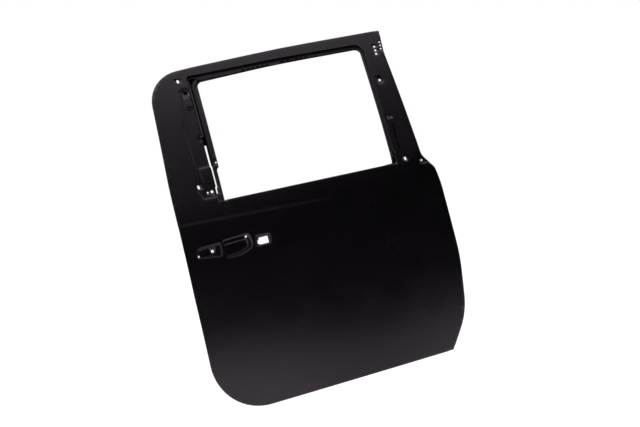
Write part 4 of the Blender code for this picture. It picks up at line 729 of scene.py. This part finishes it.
world = bpy.data.worlds.new("studio")
bpy.context.scene.world = world
world.use_nodes = True
world.node_tree.nodes["Background"].inputs["Color"].default_value = WHITE
world.node_tree.nodes["Background"].inputs["Strength"].default_value = 1.0
lamp = bpy.data.lights.new("overhead", "SUN")
lamp.energy, lamp.angle = LAMP_STRENGTH, LAMP_SPREAD
overhead = bpy.data.objects.new("overhead", lamp)
overhead.rotation_euler = LAMP_TILT
bpy.context.collection.objects.link(overhead)


def card_finish():
    """Matt card in the shades painted on it, clear to all but reflections."""
    paint = bpy.data.materials.new("card_shaded")
    paint.use_nodes = True
    nodes, links = paint.node_tree.nodes, paint.node_tree.links
    shader, shade = nodes["Principled BSDF"], nodes.new("ShaderNodeVertexColor")
    shader.inputs["Roughness"].default_value = 1.0
    shader.inputs["Specular IOR Level"].default_value = 0.0
    shade.layer_name = "shade"
    clear, seen = nodes.new("ShaderNodeBsdfTransparent"), nodes.new("ShaderNodeLightPath")
    mix = nodes.new("ShaderNodeMixShader")
    links.new(shade.outputs["Color"], shader.inputs["Base Color"])
    links.new(seen.outputs["Is Glossy Ray"], mix.inputs["Fac"])
    links.new(clear.outputs["BSDF"], mix.inputs[1])
    links.new(shader.outputs["BSDF"], mix.inputs[2])
    links.new(mix.outputs["Shader"], nodes["Material Output"].inputs["Surface"])
    return paint


def hang_card(bm, shades, uprights):
    """One card, made strip by strip from upright to upright."""
    last = []
    for bearing, near, heights in uprights:
        toward = Vector((math.sin(math.radians(bearing)), -math.cos(math.radians(bearing)), 0.0))
        foot = Vector((HANG.x, 0.0, FLOOR_HEIGHT + CARD_LIFT))
        # The first two places bound the painted shadow strip on the floor, in the first two of the card's
        # shades.
        places = [foot + toward * reach for reach in (near - PAINTED_SHADOW_STRIP, near - CARD_EDGE, near, CARD_RADIUS)]
        places += [Vector((HANG.x, 0.0, height)) + toward * CARD_RADIUS for height in heights]
        row = [bm.verts.new(place) for place in places]
        for vert, shade in zip(row, CARD_SHADES):
            vert[shades] = (shade, shade, shade, 1.0)
        for low, high, next_high, next_low in zip(last, last[1:], row[1:], row):
            bm.faces.new((low, high, next_high, next_low))
        last = row


card_paint = card_finish()
bm = bmesh.new()
shade_layer = bm.verts.layers.float_color.new("shade")
hang_card(bm, shade_layer, FRONT_CARD)
hang_card(bm, shade_layer, BACK_CARD)
card_mesh = bpy.data.meshes.new("card")
bm.to_mesh(card_mesh)
bm.free()
card_mesh.materials.append(card_paint)
card = bpy.data.objects.new("card", card_mesh)
bpy.context.collection.objects.link(card)

# Camera
# At the photograph's angle: a little from the rear, level with the belt, and rolled as the picture is. It
# stands well back, with a short telephoto lens.

AIM = Vector((0.0, 0.0, -0.150)) + HANG
YAW, ROLL, DISTANCE = math.radians(19.3), math.radians(13.9), 4.6
LENS, SENSOR = 70.0, 36.0

ahead = Vector((math.sin(YAW), math.cos(YAW), 0.0))
level_right, upright = Vector((math.cos(YAW), -math.sin(YAW), 0.0)), Vector((0.0, 0.0, 1.0))
right = math.cos(ROLL) * level_right - math.sin(ROLL) * upright
up = math.sin(ROLL) * level_right + math.cos(ROLL) * upright
turn = Matrix((right, up, -ahead)).transposed().to_4x4()
lens = bpy.data.cameras.new("camera")
lens.lens, lens.sensor_width = LENS, SENSOR
camera = bpy.data.objects.new("camera", lens)
bpy.context.collection.objects.link(camera)
camera.matrix_world = Matrix.Translation(AIM - ahead * DISTANCE) @ turn
bpy.context.scene.camera = camera
bpy.context.scene.view_settings.view_transform = "Standard"
